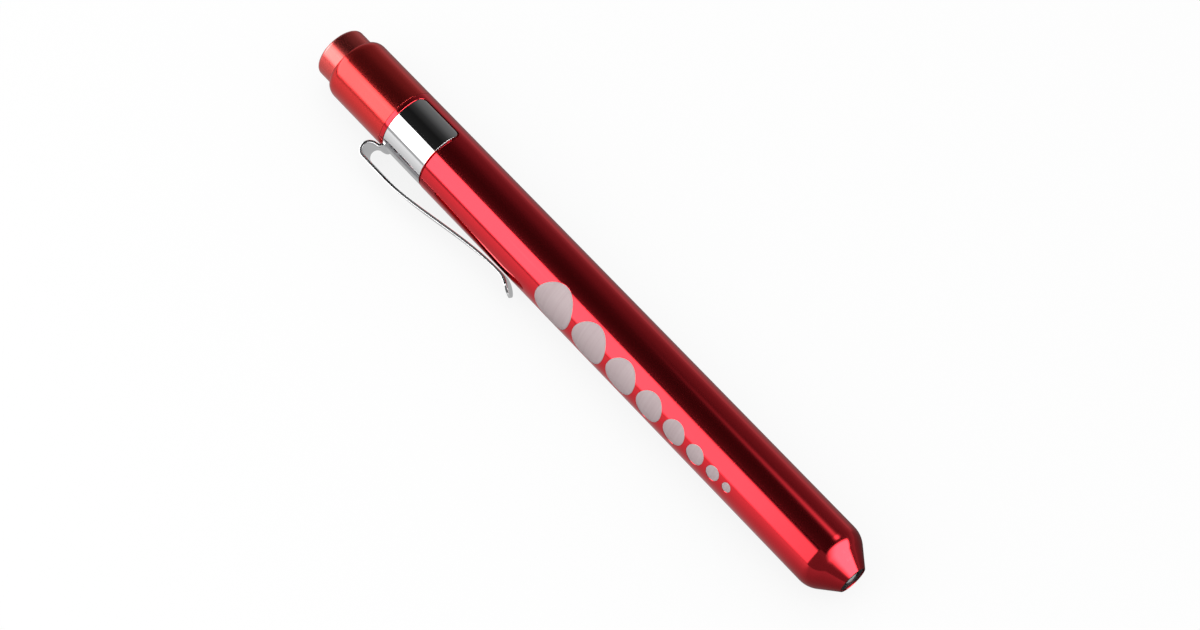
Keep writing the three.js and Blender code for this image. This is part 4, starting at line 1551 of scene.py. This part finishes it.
@dataclass
class Coils:
    """The light's two wound springs."""

    axis: LightAxis
    battery_wire: float = 0.7
    battery_turns: float = 5.0
    battery_taper: float = 0.8
    switch_wire: float = 0.4
    switch_turns: float = 5.0
    press: float = 2.2
    end_pitch: float = 1.08
    steps: int = 48
    sides: int = 16

    def make(self, dresser: Dresser) -> None:
        """Builds and dresses both springs.

        Args:
            dresser: gives each piece its finish and body.
        """
        battery = self._coil("battery_coil", "battery_spring", self.battery_wire,
                             self.battery_turns, self.battery_taper)
        dresser.dress(battery, SPRING_WIRE, Body.SPRING, "battery_spring")
        switch = self._coil("switch_coil", "switch_spring", self.switch_wire,
                            self.switch_turns, 0.0)
        dresser.dress(switch, SPRING_WIRE, Body.TAIL, "switch_spring")
        rear, front = self.axis.span("switch_spring")
        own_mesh(switch)

    def _coil(self, name: str, node: str, wire: float, turns: float, taper: float) -> Piece:
        """Winds a spring in the space of its node, with a closed turn at each end.

        Args:
            name: the piece's name.
            node: the spring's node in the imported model.
            wire: the wire's diameter.
            turns: the working turns between the end turns.
            taper: how much smaller its radius is at the front.

        Returns:
            The spring.
        """
        rear, front = self.axis.span(node)
        radius = self.axis.radius(node) - wire / 2
        end_pitch = wire * self.end_pitch
        total = turns + 2
        turn = np.linspace(0, total, round(total * self.steps) + 1)
        rise = front - rear - wire - 2 * end_pitch
        middle = graded(turn, ((0, 0), (1, end_pitch), (turns + 1, end_pitch + rise),
                               (total, rise + 2 * end_pitch)))
        along = rear + wire / 2 + middle
        size = radius - taper * np.clip((turn - 1) / turns, 0, 1)
        angle = turn * FULL_TURN
        path = np.stack([along, size * np.cos(angle), size * np.sin(angle)], axis=1)
        heading = np.gradient(path, axis=0)
        heading /= np.linalg.norm(heading, axis=1)[:, None]
        outward = np.stack([np.zeros(len(turn)), np.cos(angle), np.sin(angle)], axis=1)
        across = np.cross(heading, outward)
        around = round_columns(self.sides)
        ring = (np.cos(around)[None, :, None] * outward[:, None]
                + np.sin(around)[None, :, None] * across[:, None])
        tube = path[:, None] + ring * wire / 2
        draft = MeshDraft()
        draft.grid(self.axis.point(tube[..., 0], tube[..., 1], tube[..., 2]), joined=True)
        for end in (0, -1):
            rim = self.axis.point(*tube[end].T)
            draft.grid(np.stack([rim, np.broadcast_to(rim.mean(axis=0), rim.shape)]), joined=True)
        return draft.build(name)


@dataclass
class ClickSwitch:
    """The latching switch inside the tail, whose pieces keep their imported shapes."""

    plastic: tuple[str, ...] = ("switch_body", "switch_cap")
    natural: tuple[str, ...] = ("switch_stem", "ratchet_rotor")
    brass: tuple[str, ...] = ("ground_washer", "contact_pin", "switch_terminal")

    def make(self, dresser: Dresser) -> None:
        """Dresses the switch's pieces.

        Args:
            dresser: gives each piece its finish and body.
        """
        dresser.keep(HOLDER_BLACK, *self.plastic)
        dresser.keep(NATURAL_WHITE, *self.natural)
        dresser.keep(BRASS, *self.brass)


@dataclass(frozen=True)
class TentLight:
    """The light tent's brightness: a softbox on the clip's side, dark above, a window ahead.

    Lengths go along the tent from the middle of the light, in metres. Angles go round it from the
    clip's side, in degrees. A table pairs such a place with the level or the width there. A step is
    given by its middle and half its width.
    """

    rear_limit: float = -0.3
    edges_at: float = -0.125
    side_top: float = 62.0
    overhead_from: float = 66.0
    softbox_glow: float = 4.2
    softbox_fade: Table = (
        (-0.18, 1.0), (-0.15, 0.94), (-0.10, 0.84), (-0.036, 0.74), (-0.02, 0.52), (0.02, 0.04))
    top_edge: float = 57.6
    top_lean: float = 46.0
    top_blur: Table = ((-0.19, 1.6), (0.0, 6.0))
    low_edge: float = 5.5
    low_lean: float = 39.0
    low_blur: Table = ((-0.25, 1.2), (0.0, 5.0))
    halo_glow: float = 0.2
    halo_fall: float = 8.0
    halo_reach: Table = ((-0.228, 1.0), (-0.222, 0.0), (-0.19, 0.0), (-0.182, 1.0))
    horizon: Table = ((-0.16, 0.45), (-0.06, 0.85))
    horizon_end: tuple[float, float] = (0.0, 0.03)
    overhead: Table = (
        (66.0, 0.016), (98.0, 0.010), (118.0, 0.035), (128.0, 0.07), (142.0, 0.125), (160.0, 0.17),
        (178.0, 0.30))
    rear_lift: Table = ((-0.2325, 0.035), (-0.2295, 0.0))
    front_glow: float = 0.2
    front_start: tuple[float, float] = (0.02, 0.04)
    strip_glow: float = 1.5
    strip_angle: float = 122.0
    strip_width: Table = ((-0.1, 4.5), (0.0, 8.0))
    strip_run: float = 0.13
    strip_end: tuple[float, float] = (0.09, 0.03)
    strip_gain: Table = ((0.0, 1.0), (0.03, 1.7))
    window_glow: float = 5.5
    window_start: tuple[float, float] = (0.17, 0.03)
    window_low: Table = ((0.1, 105.0), (0.22, 80.0), (0.35, 66.0))
    window_low_blur: float = 28.0
    window_high: Table = ((0.1, 148.0), (0.34, 157.0))
    window_high_blur: float = 5.0

    def glow(self, along: np.ndarray, angle: np.ndarray) -> np.ndarray:
        """Gives the brightness of the tent's wall.

        Args:
            along: lengths along the wall.
            angle: angles round it.

        Returns:
            The brightness there.
        """
        along = np.maximum(along, self.rear_limit)
        lead = along - self.edges_at
        top = self.top_edge - self.top_lean * lead
        upper = 1 - ease(angle, top, graded(along, self.top_blur))
        lower = ease(angle, self.low_edge - self.low_lean * lead, graded(along, self.low_blur))
        softbox = self.softbox_glow * graded(along, self.softbox_fade)
        horizon = graded(along, self.horizon) * (1 - ease(along, *self.horizon_end))
        side = horizon * (1 - lower) + ease(along, *self.front_start) * self.front_glow
        lift = graded(along, self.rear_lift) * (angle > self.overhead_from)
        glow = np.where(angle < self.side_top, side, graded(angle, self.overhead) + lift)
        glow = glow * (1 - upper * lower) + softbox * upper * lower
        halo = self.halo_glow * np.exp(-np.maximum(angle - top, 0) / self.halo_fall)
        halo = halo * (angle > self.side_top) * graded(along, self.halo_reach)
        return glow + halo + self._strip(along, angle) + self._window(along, angle)

    def _strip(self, along: np.ndarray, angle: np.ndarray) -> np.ndarray:
        """Gives the brightness of the strip light overhead.

        Args:
            along: lengths along the wall.
            angle: angles round it.

        Returns:
            The brightness there.
        """
        across = np.exp(-((angle - self.strip_angle) / graded(along, self.strip_width)) ** 2)
        reach = np.clip((along + self.strip_run) / self.strip_run, 0, 1) ** 3
        return self.strip_glow * across * (
            reach * (1 - ease(along, *self.strip_end)) * graded(along, self.strip_gain))

    def _window(self, along: np.ndarray, angle: np.ndarray) -> np.ndarray:
        """Gives the brightness of the window ahead.

        Args:
            along: lengths along the wall.
            angle: angles round it.

        Returns:
            The brightness there.
        """
        low = ease(angle, graded(along, self.window_low), self.window_low_blur)
        high = 1 - ease(angle, graded(along, self.window_high), self.window_high_blur)
        return self.window_glow * (low * high * ease(along, *self.window_start))


@dataclass(frozen=True)
class SoftLamp:
    """A soft lamp over the table: its place and size in metres, and its power in watts."""

    name: str
    place: tuple[float, float, float]
    size: float
    power: float

    def make(self) -> None:
        """Sets the lamp, aimed at the middle of the table."""
        light = bpy.data.lights.new(self.name, "AREA")
        light.size = self.size
        light.energy = self.power
        lamp = bpy.data.objects.new(self.name, light)
        lamp.location = self.place
        lamp.rotation_euler = (-Vector(self.place)).to_track_quat("-Z", "Y").to_euler()
        lamp.visible_glossy = False
        bpy.context.scene.collection.objects.link(lamp)


@dataclass
class Studio:
    """The pale floor, the soft light round the table and the camera, in metres and pixels."""

    axis: LightAxis
    picture: tuple[float, float] = (1200.0, 630.0)
    focal: float = 2725.0
    sensor: float = 36.0
    near_limit: float = 0.01
    distance: float = 0.4806
    aim_along: float = 0.05524
    aim_pixel: tuple[float, float] = (604.8, 324.55)
    nose_towards: float = math.radians(19.7)
    picture_turn: float = math.radians(45.83)
    room_light: float = 0.75
    floor_side: float = 6.0
    floor_tone: float = 0.14
    floor_glow: float = 0.862
    tent_light: TentLight = TentLight()
    tent_radius: float = 0.35
    tent_ends: tuple[float, float, float] = (-2.4, -0.55, 0.065)
    tent_rows: tuple[int, int] = (12, 400)
    tent_sweep: tuple[int, int, int] = (-1, 181, 365)
    table_lift: float = 0.0004
    # Brightness of the reflected table across and along it: painted shade, darkest close to the
    # light.
    painted_shade_across: Table = (
        (-0.42, 0.95), (-0.15, 0.95), (-0.06, 0.92), (-0.027, 0.80), (-0.014, 0.62), (-0.008, 0.50),
        (-0.004, 0.44), (0.0, 0.10), (0.004, 0.14), (0.008, 0.17), (0.014, 0.22), (0.027, 0.32),
        (0.06, 0.42), (0.15, 0.48), (0.42, 0.48))
    painted_shade_along: Table = (
        (-0.55, 1.0), (-0.10, 1.0), (0.045, 1.0), (0.056, 0.85), (0.066, 0.42), (0.42, 0.40))
    lamps: tuple[SoftLamp, ...] = (
        SoftLamp("key_lamp", (-0.12, -0.30, 0.24), 0.35, 0.4),
        SoftLamp("fill_lamp", (0.10, 0.10, 0.55), 0.6, 0.3))

    def make(self) -> None:
        """Sets the floor, light and camera."""
        self._world()
        self._floor()
        self._tent()
        self._table_painted_shadow()
        for lamp in self.lamps:
            lamp.make()
        self._camera()

    @staticmethod
    def _seen(nodes: NodeTree) -> Socket:
        """Gives 1 for rays from the camera, a mirror or glass, and 0 for others.

        Args:
            nodes: the nodes of a material or of the surroundings.

        Returns:
            The value.
        """
        path = nodes.add("LightPath").outputs
        both = nodes.sums("MAXIMUM", path["Is Camera Ray"], path["Is Glossy Ray"])
        return nodes.sums("MAXIMUM", both, path["Is Transmission Ray"])

    def _world(self) -> None:
        """Makes the white surroundings, with a plain level of light on the object."""
        world = bpy.data.worlds.new("white_room")
        bpy.context.scene.world = world
        world.use_nodes = True
        nodes = NodeTree(world.node_tree)
        background = world.node_tree.nodes["Background"].inputs
        background["Color"].default_value = (1, 1, 1, 1)
        level = nodes.spread(self._seen(nodes), (0.0, 1.0, self.room_light, 1.0))
        nodes.feed(background["Strength"], level)

    @staticmethod
    def _sheet(name: str, points: np.ndarray, material_name: str) -> tuple[Piece, NodeTree]:
        """Makes a sheet of the studio.

        Args:
            name: the sheet's name.
            points: its points by row and column.
            material_name: the name of its material.

        Returns:
            The sheet, and the nodes of its new material.
        """
        mesh = bpy.data.meshes.new(name)
        index = np.arange(points[..., 0].size).reshape(points.shape[:2])
        mesh.from_pydata(points.reshape(-1, 3).tolist(), [], grid_faces(index))
        sheet = bpy.data.objects.new(name, mesh)
        bpy.context.scene.collection.objects.link(sheet)
        material = bpy.data.materials.new(material_name)
        material.use_nodes = True
        mesh.materials.append(material)
        return sheet, NodeTree(material.node_tree)

    def _floor(self) -> None:
        """Makes the white table, which keeps the light's soft shadow."""
        ends = np.array((-0.5, 0.5)) * self.floor_side
        across, along = np.meshgrid(ends, ends)
        points = np.stack([across, along, np.zeros(along.shape)], axis=-1)
        floor, nodes = self._sheet("table", points, "white_table")
        shader = nodes.tree.nodes["Principled BSDF"].inputs
        shader["Base Color"].default_value = (self.floor_tone, self.floor_tone, self.floor_tone, 1)
        shader["Roughness"].default_value = 1.0
        shader["Specular IOR Level"].default_value = 0.0
        shader["Emission Color"].default_value = (1, 1, 1, 1)
        glow = nodes.sums("MULTIPLY", self._seen(nodes), self.floor_glow)
        nodes.feed(shader["Emission Strength"], glow)

    def _card(self, name: str, points: np.ndarray, glow: np.ndarray) -> None:
        """Makes a card of the studio that only shows in reflections.

        Args:
            name: the card's name.
            points: its points by row and column.
            glow: the brightness at each point.
        """
        card, nodes = self._sheet(name, points, name)
        values = card.data.attributes.new("glow", "FLOAT", "POINT")
        values.data.foreach_set("value", glow.ravel().astype(np.float32))
        nodes.tree.nodes.remove(nodes.tree.nodes["Principled BSDF"])
        emission = nodes.add("Emission")
        on_matt = nodes.add("LightPath").outputs["Diffuse Depth"]
        direct = nodes.sums("LESS_THAN", on_matt, 0.5)
        strength = nodes.add("Attribute", attribute_name="glow").outputs["Fac"]
        nodes.feed(emission.inputs["Strength"], nodes.sums("MULTIPLY", strength, direct))
        output = nodes.tree.nodes["Material Output"].inputs
        nodes.feed(output["Surface"], emission.outputs["Emission"])
        for rays in ("camera", "diffuse", "shadow", "transmission"):
            setattr(card, f"visible_{rays}", False)

    def _tent(self) -> None:
        """Makes the half-round light tent over the table, with a closed rear and a domed front."""
        far, rear, front = self.tent_ends
        far_rows, near_rows = self.tent_rows
        near_wall = np.linspace(rear, front + self.tent_radius * math.pi / 2, near_rows)
        wall = np.concatenate([np.linspace(far, rear, far_rows)[:-1], near_wall])
        along, angle = np.meshgrid(wall, np.linspace(*self.tent_sweep), indexing="ij")
        tilt = np.clip((along - front) / self.tent_radius, 0, math.pi / 2)
        across = self.tent_radius * np.cos(tilt) * (along > far)
        turn = np.radians(angle)
        ahead = np.minimum(along, front) + self.tent_radius * np.sin(tilt)
        points = np.stack([ahead, self.axis.origin.y - across * np.cos(turn),
                           self.axis.origin.z + across * np.sin(turn)], axis=-1)
        self._card("light_tent", points, self.tent_light.glow(along, angle))

    def _table_painted_shadow(self) -> None:
        """Makes the table as it shows in reflections only: a card with painted shade, darkest close
        to the light.
        """
        side, side_level = np.array(self.painted_shade_across).T
        way, way_level = np.array(self.painted_shade_along).T
        along, across = np.meshgrid(way, side, indexing="ij")
        points = np.stack([along, self.axis.origin.y + across,
                           np.full(along.shape, self.table_lift)], axis=-1)
        self._card("table_painted_shadow", points, way_level[:, None] * side_level[None, :])

    def _camera(self) -> None:
        """Sets the camera at the photograph's viewing angle."""
        across = self.axis.to_gauge * math.cos(self.nose_towards)
        view = (Vector((math.sin(self.nose_towards), 0, 0)) + across).normalized()
        ahead = Vector((1, 0, 0))
        ahead = (ahead - view * ahead.dot(view)).normalized()
        square = view.cross(ahead)
        right = ahead * math.cos(self.picture_turn) + square * math.sin(self.picture_turn)
        up = square * math.cos(self.picture_turn) - ahead * math.sin(self.picture_turn)
        aim = self.axis.origin + Vector((self.aim_along, 0, 0))
        pixel = self.distance / self.focal
        shift = (self.aim_pixel[0] - self.picture[0] / 2, self.aim_pixel[1] - self.picture[1] / 2)
        place = aim + view * self.distance - right * shift[0] * pixel + up * shift[1] * pixel
        data = bpy.data.cameras.new("camera")
        data.sensor_width = self.sensor
        data.sensor_fit = "HORIZONTAL"
        data.lens = self.focal * self.sensor / self.picture[0]
        data.clip_start = self.near_limit
        camera = bpy.data.objects.new("camera", data)
        turn = Matrix((right, up, view)).transposed()
        camera.matrix_world = Matrix.Translation(place) @ turn.to_4x4()
        bpy.context.scene.collection.objects.link(camera)
        bpy.context.scene.camera = camera


def main() -> None:
    """Builds the penlight's pieces in order, then the studio."""
    logging.basicConfig(level=logging.INFO, format="%(name)s: %(message)s")
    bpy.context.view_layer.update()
    axis = LightAxis.from_frame()
    dresser = Dresser()
    parts = (Barrel(axis), PocketClip(axis), Tail(axis), LampEnd(axis), Cells(axis), Coils(axis),
             ClickSwitch())
    for part in parts:
        part.make(dresser)
    Studio(axis).make()
    bpy.context.scene.view_settings.view_transform = "Standard"


if __name__ == "__main__":
    main()
